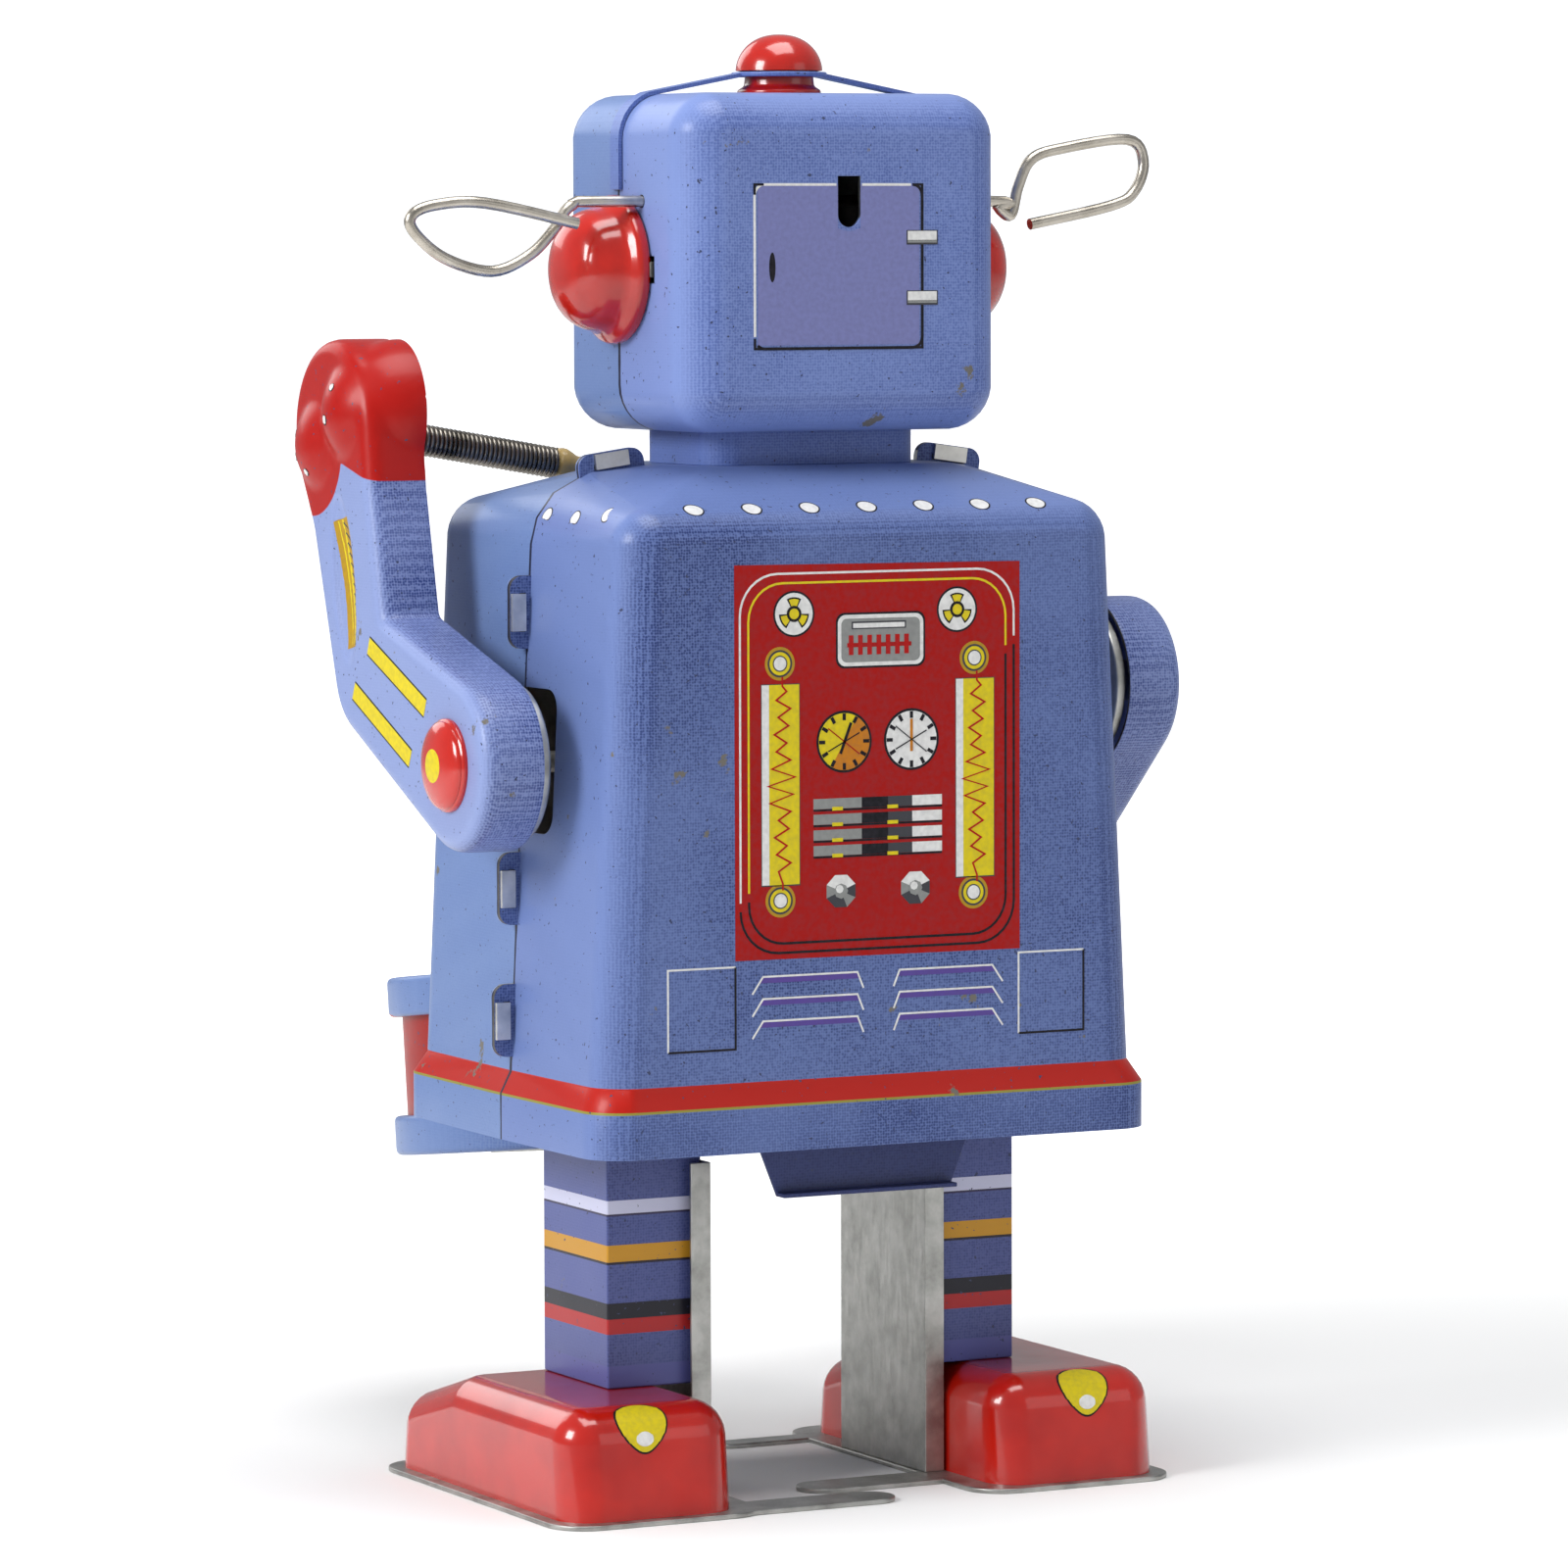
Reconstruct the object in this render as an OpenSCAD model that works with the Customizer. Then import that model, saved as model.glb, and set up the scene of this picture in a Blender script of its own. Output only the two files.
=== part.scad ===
// Clockwork tin drummer robot: lithographed tin shells round a spring motor.
// +Z is up, the soles stand on z = 0, -Y is the robot's front and +X its left hand.
// The front and rear shells of head and body meet in the plane y = 0.

/* [Body] */
// Half width of the body at the seam, just above the skirt
body_half_w = 36; // [33:0.5:44]
// How much narrower each side is at the shoulder than above the skirt
body_taper = 3; // [0:0.5:5]
// How much narrower each side is at the front and back faces than at the seam
body_draft = 0.4; // [0:0.2:3]
// Depth of the rear body half, from the seam to its face
body_depth = 25; // [24:0.5:30]
// Depth of the front body half, from the seam to its face
front_depth = 28.5; // [24:0.5:32]
// Height of the bottom edge of the skirt, over the ground
skirt_z = 43; // [38:0.5:54]
// Height of the skirt band, up to the ledge with the stripe
skirt_h = 8; // [6:0.5:9]
// How far the skirt stands out from the wall
skirt_out = 1.3; // [0.6:0.1:2.5]
// Height of the body, from the skirt's bottom edge to the flat roof
body_h = 79.4; // [79:0.2:100]
// Radius of the rounded edges of the body
body_edge_r = 5; // [3:0.5:7]
// Thickness of the tinplate
tin = 0.5; // [0.4:0.05:0.7]

/* [Head] */
// Half width of the head at the seam
head_half_w = 21.3; // [19:0.5:25]
// Depth of the rear half of the head
head_rear_d = 18; // [15:0.5:22]
// Depth of the front half of the head
head_front_d = 17; // [15:0.5:22]
// Height of the head shells
head_h = 39.8; // [36:0.5:48]
// Radius of the head's corners
head_r = 5.5; // [4:0.5:9]
// Height of the neck collar
neck_h = 4; // [3:0.5:8]
// Width of the neck collar
neck_w = 28; // [22:0.5:31]
// Depth of the neck collar
neck_d = 20; // [16:0.5:24]
// Diameter of the round ears
ear_d = 17.6; // [14:0.2:19]
// How far the ears stand out
ear_out = 8; // [5:0.5:8.5]
// Diameter of the dome on the crown
dome_d = 10.4; // [8:0.2:14]
// Height of the dome above the strap
dome_h = 4.6; // [3:0.2:7]
// Width of the strap over the head
strap_w = 2.3; // [1.5:0.1:4]

/* [Antenna] */
// Diameter of the antenna wire
wire_d = 1.5; // [1:0.1:1.8]
// How far behind the seam the wire runs through the head
wire_y = 6; // [5:0.5:8]
// Height of the wire above the bottom of the head
wire_rise = 27.1; // [26:0.1:30]

/* [Arms] */
// How far behind the seam the arm axle lies
arm_y = 6; // [5:0.5:7]
// Distance of the arm axle below the roof
arm_drop = 34.4; // [33:0.2:35]
// How much higher the right arm axle lies than the left one
right_rise = 7.3; // [0:0.1:7.4]
// Gap from the body's seam to the open edge of the arm shell
arm_gap = 3; // [2.6:0.1:8]
// Depth of the arm shell
arm_depth = 7.6; // [6:0.1:12]
// Radius of the round shoulder end
shoulder_r = 10.3; // [9:0.1:10.8]
// Angle that the right arm is lowered by while the left one is raised
arm_rest_drop = 67; // [40:1:70]
// Diameter of the arm axle
axle_d = 2.5; // [1.5:0.1:3]
// Diameter of the red shoulder button
button_d = 11; // [8:0.5:14]
// Diameter of the drumstick's spring
stick_d = 3.9; // [3:0.1:5]
// Length of the drumstick's spring
stick_l = 30.6; // [26:0.2:32]
// Length of the drumstick's turned tip
tip_l = 7.5; // [5:0.5:9]

/* [Drum] */
// Radius of the drum's hoops
hoop_r = 23.9; // [20:0.1:26]
// Height of the drum over its hoops
drum_h = 22.5; // [16:0.5:24]
// Height of each hoop
hoop_h = 5; // [3:0.5:7]
// How far the hoops stand out from the drum's wall
hoop_out = 1.7; // [1.2:0.1:3]
// Gap from the skirt to the drum's hoops
drum_gap = 2.7; // [2:0.1:6]
// Height of the middle of the drum above the skirt's bottom edge
drum_rise = 2.5; // [0:0.5:3]
// Angle that the drum leans forward
drum_tilt = 7; // [0:1:10]

/* [Legs] */
// Gap from the motor plate to the inner face of the leg channel
leg_gap = 1.6; // [1:0.1:4]
// Distance that the leg cover stands out from the channel's web
cover_out = 12.4; // [9:0.2:15]
// Front edge of the leg cover, ahead of the seam
cover_front = 9.6; // [7:0.2:11]
// Rear edge of the leg cover, behind the seam
cover_rear = 8; // [6:0.2:9]
// Height of the hip pins above the skirt's bottom edge
hip_rise = 7; // [6.6:0.1:8]
// Diameter of the hip pins
hip_d = 2.5; // [1.5:0.1:3]

/* [Feet] */
// Width of the shoe
shoe_w = 22.2; // [18:0.2:26]
// Toe of the shoe, ahead of the seam
shoe_front = 27; // [22:0.5:34]
// Heel of the shoe, behind the seam
shoe_rear = 23.5; // [19:0.5:28]
// Height of the shoe at the heel and instep
shoe_h = 12.9; // [10:0.2:15]
// Height of the shoe at the toe
toe_h = 9.5; // [8.5:0.2:10]
// Thickness of the sole plate
sole_t = 0.6; // [0.5:0.05:1]
// How far the sole stands out round the shoe
sole_lip = 1.6; // [1:0.1:3]

/* [Motor] */
// Distance from the middle to the inner face of each motor plate
plate_x = 12; // [11.6:0.1:12.4]
// Thickness of the motor plates
plate_t = 0.8; // [0.6:0.1:1]
// Module of the gears
gear_m = 0.8; // [0.7:0.02:0.82]
// Diameter of the winding arbor
arbor_d = 3; // [2:0.1:3.4]

/* [Fits] */
// Radial clearance of shafts that turn
run_fit = 0.05; // [0.02:0.01:0.1]
// Clearance of clinch tabs in their slots
tab_fit = 0.1; // [0.05:0.05:0.2]

/* [Hidden] */
$fn = 48;
eps = 0.01;

// skirt, walls and roof
roof_z = skirt_z + body_h;
ledge_z = skirt_z + skirt_h;
stripe_h = 2.5;
shoulder_z = roof_z - 9.1;
plateau_w = neck_w / 2 + 2;
plateau_d = neck_d / 2 + 3;
tab_w = 4.4;
tab_at = 0.7;
tab_fold = 1.8;
ear_tall = 8.6;
ear_reach = 2.6;
notch_h = 17;
notch_r = 2.5;
notch_rear = arm_y + axle_d / 2 + 1.25;
arm_z = roof_z - arm_drop;
// seam joints above and below the shoulder, and one more with the key between
key_h = 13.6;
key_room = key_h / 2 + 1;
key_z = arm_z - shoulder_r - 5 - key_room;
left_joint_z = [arm_z + shoulder_r + 7, key_z + key_room, key_z - key_room];
right_joint_z = [arm_z + right_rise + shoulder_r + 4, key_z + key_room, key_z - key_room];
roof_joint_x = 22.5;
neck_tab_w = 3.2;
neck_tab_x = 8;

// head
head_z = roof_z + neck_h;
head_top = head_z + head_h;
head_face_draft = 0.1;
ear_z = head_z + 19.1;
wire_z = head_z + wire_rise;
slot_w = 3;
slot_h = 6;
slot_z = head_z + 24;
strap_rise = 2.6;
strap_gap = 0.08;
dome_stem_r = dome_d / 2 - 1;

// arms: shoulder, elbow, wrist and fist circles as [y, z, radius] from the axle
arm_spine = [[0, 0, shoulder_r], [-25.8, 9.8, 8.2], [-31.5, 30, 9.2], [-34.3, 38.2, 11]];
arm_round = 2;
arm_in_x = body_half_w + arm_gap;
arm_out_x = arm_in_x + arm_depth;
hub_t = 2.2;
hub_gap = 0.1;
button_h = 2.2;
stick_at = [-36, 39];
stick_drop = 9.9;
stick_root_x = arm_out_x - tin - 0.4;
bearing_wall = 0.8;
bearing_end = body_half_w - body_taper - 2;
lever_x = 5.5;
lever_t = 1.5;

// legs
leg_in_x = plate_x + plate_t + leg_gap;
web_t = tin;
cover_z0 = sole_t + shoe_h;
cover_top = skirt_z + 2;
channel_front = cover_front + 2.8;
channel_rear = cover_rear + 1.6;
flange_reach = 2.6;
hip_y = -1;
hip_z = skirt_z + hip_rise;
web_top_r = 6;
shoe_in_x = leg_in_x + 2.9;
sole_in_x = leg_in_x - 0.4;
tongue_past = 3.8;
// half widths of the rear and front tongues
rear_tongue_r = 3.2;
front_tongue_r = 1.7;

// motor: centres of the arbors as [y, z]
base_z = skirt_z + 1.5;
base_t = 0.6;
base_past = skirt_out - tin - 0.3;
lip_in = 4.4;
plate_z0 = base_z + base_t;
plate_top = roof_z - 4.4;
plate_front = 16;
plate_rear = 13.5;
great_teeth = 40;
crank_teeth = 30;
crank_pinion = 10;
escape_pinion = 8;
mesh_gap = 0.1;
// directions from the great wheel to the crankshaft, and on to the escape wheel
train_a = 125;
train_b = 85;
great_at = [7.5, key_z];
great_x = 1.6 - plate_x;
wheel_t = 1;
crank_at = great_at + (gear_m * (great_teeth + crank_pinion) / 2 + mesh_gap) * [cos(train_a), sin(train_a)];
escape_at = crank_at + (gear_m * (crank_teeth + escape_pinion) / 2 + mesh_gap) * [cos(train_b), sin(train_b)];
escape_r = 6.5;
escape_teeth = 15;
pallet_at = escape_at + 10.2 * [cos(train_b), sin(train_b)];
thin_arbor_r = 0.8;
crank_arbor_r = 1;
arbor_past = 0.6;
crank_disc_x = 7.2;
crank_disc_t = 1;
crank_disc_r = 5;
crank_throw = 3.4;
pillar_r = 1.6;
pillar_at = [[-13.5, plate_z0 + 2.9], [10.6, key_z + 19.1],
    [-13.5, plate_top - 3], [9.5, plate_top - 3]];
key_hole_r = 2.6;
key_reach = 5.5;
key_bow_r = 2.6;
key_x = body_half_w - 0.2;

// ---------- shared shapes ----------

module mirror_x() { mirror([1, 0, 0]) children(); }

// Cylinder along X from x0 to x1 round the point at = [y, z]
module rod_x(at, r, x0, x1, sides = 48) {
    translate([x0, at[0], at[1]])
        rotate([90, 0, 90])
        cylinder(h = x1 - x0, r = r, $fn = sides);
}

// Solid of an outline drawn in Y and Z, from x0 to x1
module slab_x(x0, x1) {
    translate([x0, 0, 0])
        rotate([90, 0, 90])
        linear_extrude(x1 - x0) children();
}

// Solid of an outline drawn in X and Z, from y0 to y1
module slab_y(y0, y1) {
    translate([0, y1, 0])
        rotate([90, 0, 0])
        linear_extrude(y1 - y0) children();
}

function unit(v) = v / norm(v);
function last(list) = list[len(list) - 1];

// Direction of a path at point i, the mean of the stretches on each side
function heading(p, i) =
    unit((i < len(p) - 1 ? unit(p[i + 1] - p[i]) : 0 * p[0]) + (i > 0 ? unit(p[i] - p[i - 1]) : 0 * p[0]));

// The path moved sideways by d
function beside(p, d) = [for (i = [0 : len(p) - 1]) p[i] + d * [-heading(p, i)[1], heading(p, i)[0]]];

// Flat band of thickness t along a path
module band(p, t) {
    q = beside(p, -t / 2);
    polygon(concat(beside(p, t / 2), [for (i = [len(q) - 1 : -1 : 0]) q[i]]));
}

// Smooth curve through the points of a path, with n steps between them
function smooth(p, n) = concat(
    [for (i = [0 : len(p) - 2]) for (s = [0 : n - 1]) curve_point(p, i, s / n)],
    [last(p)]);
function curve_point(p, i, s) =
    let (a = p[max(i - 1, 0)], b = p[i], c = p[i + 1], d = p[min(i + 2, len(p) - 1)])
    b + 0.5 * s * ((c - a) + s * ((2 * a - 5 * b + 4 * c - d) + s * (3 * (b - c) + d - a)));

// Round wire along a path that never runs along Y
module wire(p, r, sides = 10) {
    rings = [for (i = [0 : len(p) - 1])
        let (t = heading(p, i), v = unit(cross(t, [0, 1, 0])), w = cross(v, t))
        for (k = [0 : sides - 1]) p[i] + r * (cos(360 * k / sides) * w + sin(360 * k / sides) * v)];
    ends = (len(p) - 1) * sides;
    polyhedron(rings, concat(
        [[for (k = [0 : sides - 1]) k]],
        [for (i = [0 : len(p) - 2]) for (k = [0 : sides - 1])
            let (a = i * sides + k, b = i * sides + (k + 1) % sides)
            [a, a + sides, b + sides, b]],
        [[for (k = [sides - 1 : -1 : 0]) ends + k]]));
}

// Gear outline with straight-sided teeth, the first one turned to the angle at
module gear_outline(teeth, at = 0) {
    r = gear_m * teeth / 2;
    pitch = 360 / teeth;
    foot = r - 1.15 * gear_m;
    tip = r + 0.8 * gear_m;
    polygon([for (i = [0 : teeth - 1]) for (c = [[-0.29, foot], [-0.1, tip], [0.1, tip], [0.29, foot]])
        c[1] * [cos(at + pitch * (i + c[0])), sin(at + pitch * (i + c[0]))]]);
}

// ---------- body ----------

// Half width of the body wall at the seam, at a height
function wall_x(z) = body_half_w - body_taper * min(1, (z - ledge_z) / (shoulder_z - ledge_z));

// Upper part of a body half, drawn smaller by g on every wall
module body_upper(depth, g) {
    r = body_edge_r - g;
    x_low = body_half_w - body_draft - body_edge_r;
    x_high = x_low - body_taper;
    y = depth - body_edge_r;
    w = body_half_w - g;
    hull() {
        slab_y(0, eps) polygon([
            for (s = [1, -1]) for (c = [0 : 5]) let (k = s > 0 ? c : 5 - c) s_point(k, s, w, g)]);
        for (s = [1, -1]) {
            translate([s * x_high, y, shoulder_z]) sphere(r, $fn = 32);
            translate([s * x_low, y, ledge_z]) cylinder(h = eps, r = r, $fn = 32);
        }
        translate([-plateau_w + g, 0, roof_z - g - eps]) cube([2 * (plateau_w - g), plateau_d, eps]);
    }
}

// Points of the seam outline: side foot, side top, three points round the shoulder, roof
function s_point(k, s, w, g) =
    k == 0 ? [s * w, ledge_z]
    : k == 1 ? [s * (w - body_taper), shoulder_z]
    : k == 2 ? [s * (w - body_taper - 0.8), shoulder_z + 3.1 - g / 2]
    : k == 3 ? [s * (w - body_taper - 3), shoulder_z + 6 - g]
    : k == 4 ? [s * (w - body_taper - 7.5), shoulder_z + 8.3 - g]
    : [s * (plateau_w + 2), roof_z - g];

// Skirt of a body half, drawn smaller by g, from its own bottom edge less drop
module body_skirt(depth, g, drop) {
    r = body_edge_r - g;
    w = body_half_w + skirt_out - g;
    x = body_half_w - body_draft + skirt_out - body_edge_r;
    y = depth + skirt_out - body_edge_r;
    hull() {
        translate([-w, 0, skirt_z - drop]) cube([2 * w, eps, skirt_h - stripe_h + drop]);
        for (s = [1, -1])
            translate([s * x, y, skirt_z - drop])
                cylinder(h = skirt_h - stripe_h + drop, r = r, $fn = 32);
        translate([-w + skirt_out, 0, ledge_z - eps]) cube([2 * (w - skirt_out), eps, eps]);
        for (s = [1, -1])
            translate([s * (x - skirt_out), y - skirt_out, ledge_z - eps])
                cylinder(h = eps, r = r, $fn = 32);
    }
}

module body_half(depth) {
    difference() {
        union() {
            body_upper(depth, 0);
            body_skirt(depth, 0, 0);
        }
        body_upper(depth, tin);
        body_skirt(depth, tin, 1);
        for (s = [1, -1])
            translate([s * neck_tab_x - neck_tab_w / 2 - tab_fit, neck_d / 2 - tin - tab_fit, roof_z - 3])
                cube([neck_tab_w + 2 * tab_fit, tin + 2 * tab_fit, 5]);
    }
}

// Outline of a joint ear in the seam plane, standing out from a wall to its right
module ear_outline(reach) {
    r = 1.6;
    translate([-tin, -ear_tall / 2]) square([reach + tin - r, ear_tall]);
    translate([0, -ear_tall / 2 + r]) square([reach, ear_tall - 2 * r]);
    for (s = [1, -1]) translate([reach - r, s * (ear_tall / 2 - r)]) circle(r);
}

// Places every seam joint: beside the walls and on the shoulders of the roof
module seam_joints() {
    for (m = [0, 1])
        mirror([m, 0, 0]) {
            for (z = m == 0 ? left_joint_z : right_joint_z) translate([wall_x(z), 0, z]) children();
            translate([roof_joint_x, 0, roof_z - 0.9]) rotate([0, -82, 0]) children();
        }
}

module ear_rear() {
    difference() {
        slab_y(0, tin) ear_outline(ear_reach);
        translate([tab_at - tab_fit, -1, -tab_w / 2 - tab_fit])
            cube([tin + 2 * tab_fit, 2, tab_w + 2 * tab_fit]);
    }
}

module ear_front() {
    slab_y(-tin, 0) ear_outline(ear_reach);
    translate([tab_at, -tin, -tab_w / 2]) cube([tin, 3 * tin, tab_w]);
    translate([tab_at, tin, -tab_w / 2]) cube([tab_fold, tin, tab_w]);
}

// Notch for an arm axle at the height z, from the seam backwards
module arm_notch_outline(z) {
    translate([-1, z - notch_h / 2]) square([notch_rear + 1 - notch_r, notch_h]);
    translate([0, z - notch_h / 2 + notch_r]) square([notch_rear, notch_h - 2 * notch_r]);
    for (s = [1, -1]) translate([notch_rear - notch_r, z + s * (notch_h / 2 - notch_r)]) circle(notch_r);
}

module body_rear_shell() {
    color("#6a83cc") {
        difference() {
            body_half(body_depth);
            slab_x(body_half_w / 2, body_half_w + 5) arm_notch_outline(arm_z);
            slab_x(-body_half_w - 5, -body_half_w / 2) arm_notch_outline(arm_z + right_rise);
            rod_x(great_at, key_hole_r, -body_half_w - 5, -body_half_w / 2);
        }
        seam_joints() ear_rear();
    }
}

module body_front_shell() {
    color("#7fa0dc") {
        mirror([0, 1, 0]) body_half(front_depth);
        seam_joints() ear_front();
    }
}

// Floor of the body, with a folded lip hanging at the front and at the rear
module base_plate() {
    reach = body_depth + base_past;
    front = front_depth + base_past;
    color("#6a83cc") {
        translate([-plate_x - 1.4, -front, base_z]) cube([2 * (plate_x + 1.4), front + reach, base_t]);
        translate([-17.7, channel_rear + 2.4, base_z]) cube([35.4, reach - channel_rear - 2.4, base_t]);
        for (s = [1, -1]) {
            lip_y = (s > 0 ? reach : front) - lip_in;
            slab_y(s * lip_y - tin / 2, s * lip_y + tin / 2)
                polygon([[-14.5, base_z], [14.5, base_z], [11.5, skirt_z - 6], [-11.5, skirt_z - 6]]);
            translate([-11.5, s > 0 ? lip_y : -lip_y - tin / 2 + 0.02, skirt_z - 6])
                cube([23, s > 0 ? 2 : tin - 0.04, tin]);
        }
    }
}

// ---------- neck and head ----------

module rounded_block(w, d, h, r) {
    linear_extrude(h) {
        square([w - 2 * r, d], center = true);
        square([w, d - 2 * r], center = true);
        for (x = [1, -1]) for (y = [1, -1]) translate([x * (w / 2 - r), y * (d / 2 - r)]) circle(r);
    }
}

module neck_collar() {
    color("#6a83cc") {
        translate([0, 0, roof_z])
            difference() {
                rounded_block(neck_w, neck_d, neck_h, 4);
                translate([0, 0, -1]) rounded_block(neck_w - 2 * tin, neck_d - 2 * tin, neck_h + 2, 4 - tin);
            }
        for (x = [1, -1]) for (y = [1, -1])
            translate([x * neck_tab_x - neck_tab_w / 2, y > 0 ? neck_d / 2 - tin : -neck_d / 2, roof_z - 2])
                cube([neck_tab_w, tin, 2.5]);
    }
}

// Rounded half of the head, drawn smaller by g on every wall
module head_block(depth, g) {
    r = head_r - g;
    hull()
        for (s = [1, -1]) for (z = [head_z + head_r, head_top - head_r]) {
            translate([s * (head_half_w - head_r), eps, z])
                rotate([90, 0, 0]) cylinder(h = eps, r = r, $fn = 32);
            translate([s * (head_half_w - head_r - head_face_draft), depth - head_r, z]) sphere(r, $fn = 32);
        }
}

module head_half(depth) {
    difference() {
        head_block(depth, 0);
        head_block(depth, tin);
    }
}

// Square hole behind each ear that shows its clinched tab
module ear_tab_hole(grow) {
    for (s = [1, -1])
        translate([s * head_half_w - 2.5, ear_d / 2 - 1.4 - grow, ear_z - 1.3 - grow])
            cube([5, 1.6 + 2 * grow, 2.6 + 2 * grow]);
}

module head_rear_shell() {
    color("#6a83cc")
        difference() {
            head_half(head_rear_d);
            rod_x([wire_y, wire_z], wire_d / 2 + run_fit, -head_half_w - 2, head_half_w + 2);
            slab_y(head_rear_d - 3, head_rear_d + 1) {
                translate([-slot_w / 2, slot_z + slot_w / 2]) square([slot_w, slot_h - slot_w / 2]);
                translate([0, slot_z + slot_w / 2]) circle(slot_w / 2);
            }
            ear_tab_hole(0.3);
        }
}

module head_front_shell() {
    color("#7fa0dc") mirror([0, 1, 0]) head_half(head_front_d);
}

// Half path of the strap: up the side, round the corner and up to the dome
function strap_path() = concat(
    [[head_half_w + strap_gap + tin / 2, ear_z + ear_d / 2 + 0.6]],
    [for (a = [0 : 10 : 70])
        [head_half_w - head_r, head_top - head_r] + (head_r + strap_gap + tin / 2) * [cos(a), sin(a)]],
    [[dome_d / 2, head_top + strap_rise - tin / 2], [0, head_top + strap_rise - tin / 2]]);

module head_strap() {
    half = strap_path();
    whole = concat(half, [for (i = [len(half) - 2 : -1 : 0]) [-half[i][0], half[i][1]]]);
    color("#6a83cc")
        difference() {
            slab_y(-strap_w / 2, strap_w / 2) band(whole, tin);
            translate([0, 0, head_top]) cylinder(h = 8, r = 0.8);
        }
}

// Dome on the strap, with a flanged foot under it that stands on the crown
module dome_light() {
    top = head_top + strap_rise;
    color("#c41414") {
        translate([0, 0, top])
            rotate_extrude()
            polygon([[0, 0], for (a = [0 : 6 : 90]) [dome_d / 2 * cos(a), 0.4 + (dome_h - 0.4) * sin(a)]]);
        translate([0, 0, head_top]) cylinder(h = strap_rise - tin, r = dome_stem_r);
        translate([0, 0, head_top]) cylinder(h = strap_rise + 0.5, r = 0.75);
    }
}

// Stepped round ear on the side of the head
module ear() {
    r = ear_d / 2;
    step = 2;
    translate([head_half_w, 0, ear_z])
        rotate([0, 90, 0])
        rotate_extrude()
        polygon(concat([[0, 0], [r, 0], [r, step * 0.6]],
            [for (a = [0 : 6 : 90]) [(r - 1.4) * cos(a), step + (ear_out - step) * sin(a)]]));
    translate([head_half_w - 0.6, r - 1, ear_z - 0.9]) cube([0.6 + eps, 0.8, 1.8]);
}

module ear_left() { color("#c41414") ear(); }
module ear_right() { color("#c41414") mirror_x() ear(); }

// One wire through the head with a leaf-shaped loop at each end. The loops' points are
// given as [x, y, z] from where the wire leaves the head's side.
antenna_left = [[8.9, 0, -0.4], [11.4, 0.2, -3.2], [14.7, 0.5, -6.2], [19.7, 0.8, -8.1], [25.7, 1, -6.6],
    [29.7, 1.2, -3.6], [30.1, 1.3, -1.6], [27.2, 1.5, -0.4], [20.9, 1.8, -0.2], [9.3, 2.1, -2.6]];
antenna_right = [[-5.1, 0, -0.8], [-6.9, 0, -1.7], [-7.9, 0.1, 1.8], [-9.6, 0.3, 5], [-13.6, 0.5, 6.3],
    [-22.5, 0.9, 7.4], [-24.6, 1.2, 4.8], [-23.2, 1.5, 1.2], [-19.7, 1.8, -0.6], [-8.3, 2.2, -2.8]];

module antenna_wire() {
    at = [0, wire_y, wire_z];
    side = [head_half_w, 0, 0];
    route = concat(
        [for (i = [len(antenna_right) - 1 : -1 : 0]) antenna_right[i] - side],
        [[-3.1, 0, 0] - side, [3.1, 0, 0] + side],
        [for (p = antenna_left) p + side]);
    color("#b8b4ac") translate(at) wire(smooth(route, 4), wire_d / 2);
}

// ---------- arms ----------

// One stretch of the arm between two circles of its spine, smaller by g
module arm_stretch(a, b, g, depth) {
    hull()
        for (c = [a, b]) {
            rod_x([c[0], c[1]], c[2] - g, 0, depth - arm_round, 32);
            rod_x([c[0], c[1]], c[2] - g - arm_round, 0, depth, 32);
        }
}

// Stamped arm shell, open towards the body, in the axle's own frame
module arm_shell() {
    difference() {
        for (i = [0 : 2]) arm_stretch(arm_spine[i], arm_spine[i + 1], 0, arm_depth);
        translate([-eps, 0, 0])
            for (i = [0 : 2]) arm_stretch(arm_spine[i], arm_spine[i + 1], tin, arm_depth - tin);
        rod_x([0, 0], axle_d / 2 + eps, arm_depth - 2, arm_depth + 1);
    }
}

// Steel dish behind the shoulder end
module arm_hub() {
    difference() {
        union() {
            rod_x([0, 0], shoulder_r - 1, -hub_t, -hub_gap);
            rod_x([0, 0], axle_d, -hub_gap - eps, arm_depth - tin - 2 * eps);
        }
        rod_x([0, 0], axle_d / 2 + eps, -hub_t - 1, arm_depth + 1);
    }
}

module arm_button() {
    translate([arm_depth, 0, 0])
        rotate([90, 0, 90])
        rotate_extrude()
        difference() {
            polygon(concat([[0, 0], [button_d / 2, 0]],
                [for (a = [0 : 10 : 90]) [button_d / 2 * cos(a), 0.5 + (button_h - 0.5) * sin(a)]]));
            translate([-1, -1]) square([1 + axle_d / 2 + eps, 2.2]);
        }
}

module arm_axle() {
    rod_x([0, 0], axle_d / 2, lever_x - 0.5 - arm_in_x, arm_depth + 1);
}

// Crank lever on the inner end of the axle, with its drive pin
module arm_lever() {
    x = lever_x - arm_in_x;
    difference() {
        slab_x(x, x + lever_t) {
            circle(axle_d / 2 + 1.6);
            rotate(35) translate([0, -1.5]) square([8, 3]);
            rotate(35) translate([8, 0]) circle(1.5);
        }
        rod_x([0, 0], axle_d / 2 + eps, x - 1, x + lever_t + 1);
    }
}

// Places a piece on the drumstick's axis, with its root at the fist
module on_stick() {
    translate([stick_root_x - arm_in_x, stick_at[0], stick_at[1]])
        rotate([0, -90 - stick_drop, 0]) children();
}

module stick_spring() {
    wire_r = 0.3;
    turns = floor(stick_l / (2 * wire_r));
    r = stick_d / 2 - wire_r;
    on_stick()
        rotate_extrude()
        polygon(concat([[0, 0]],
            [for (i = [0 : 3 : turns - 1]) for (a = [-60, 0, 60])
                [r + wire_r * cos(a), (2 * i + 3) * wire_r + 3 * wire_r * sin(a)]],
            [[0, stick_l]]));
}

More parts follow.
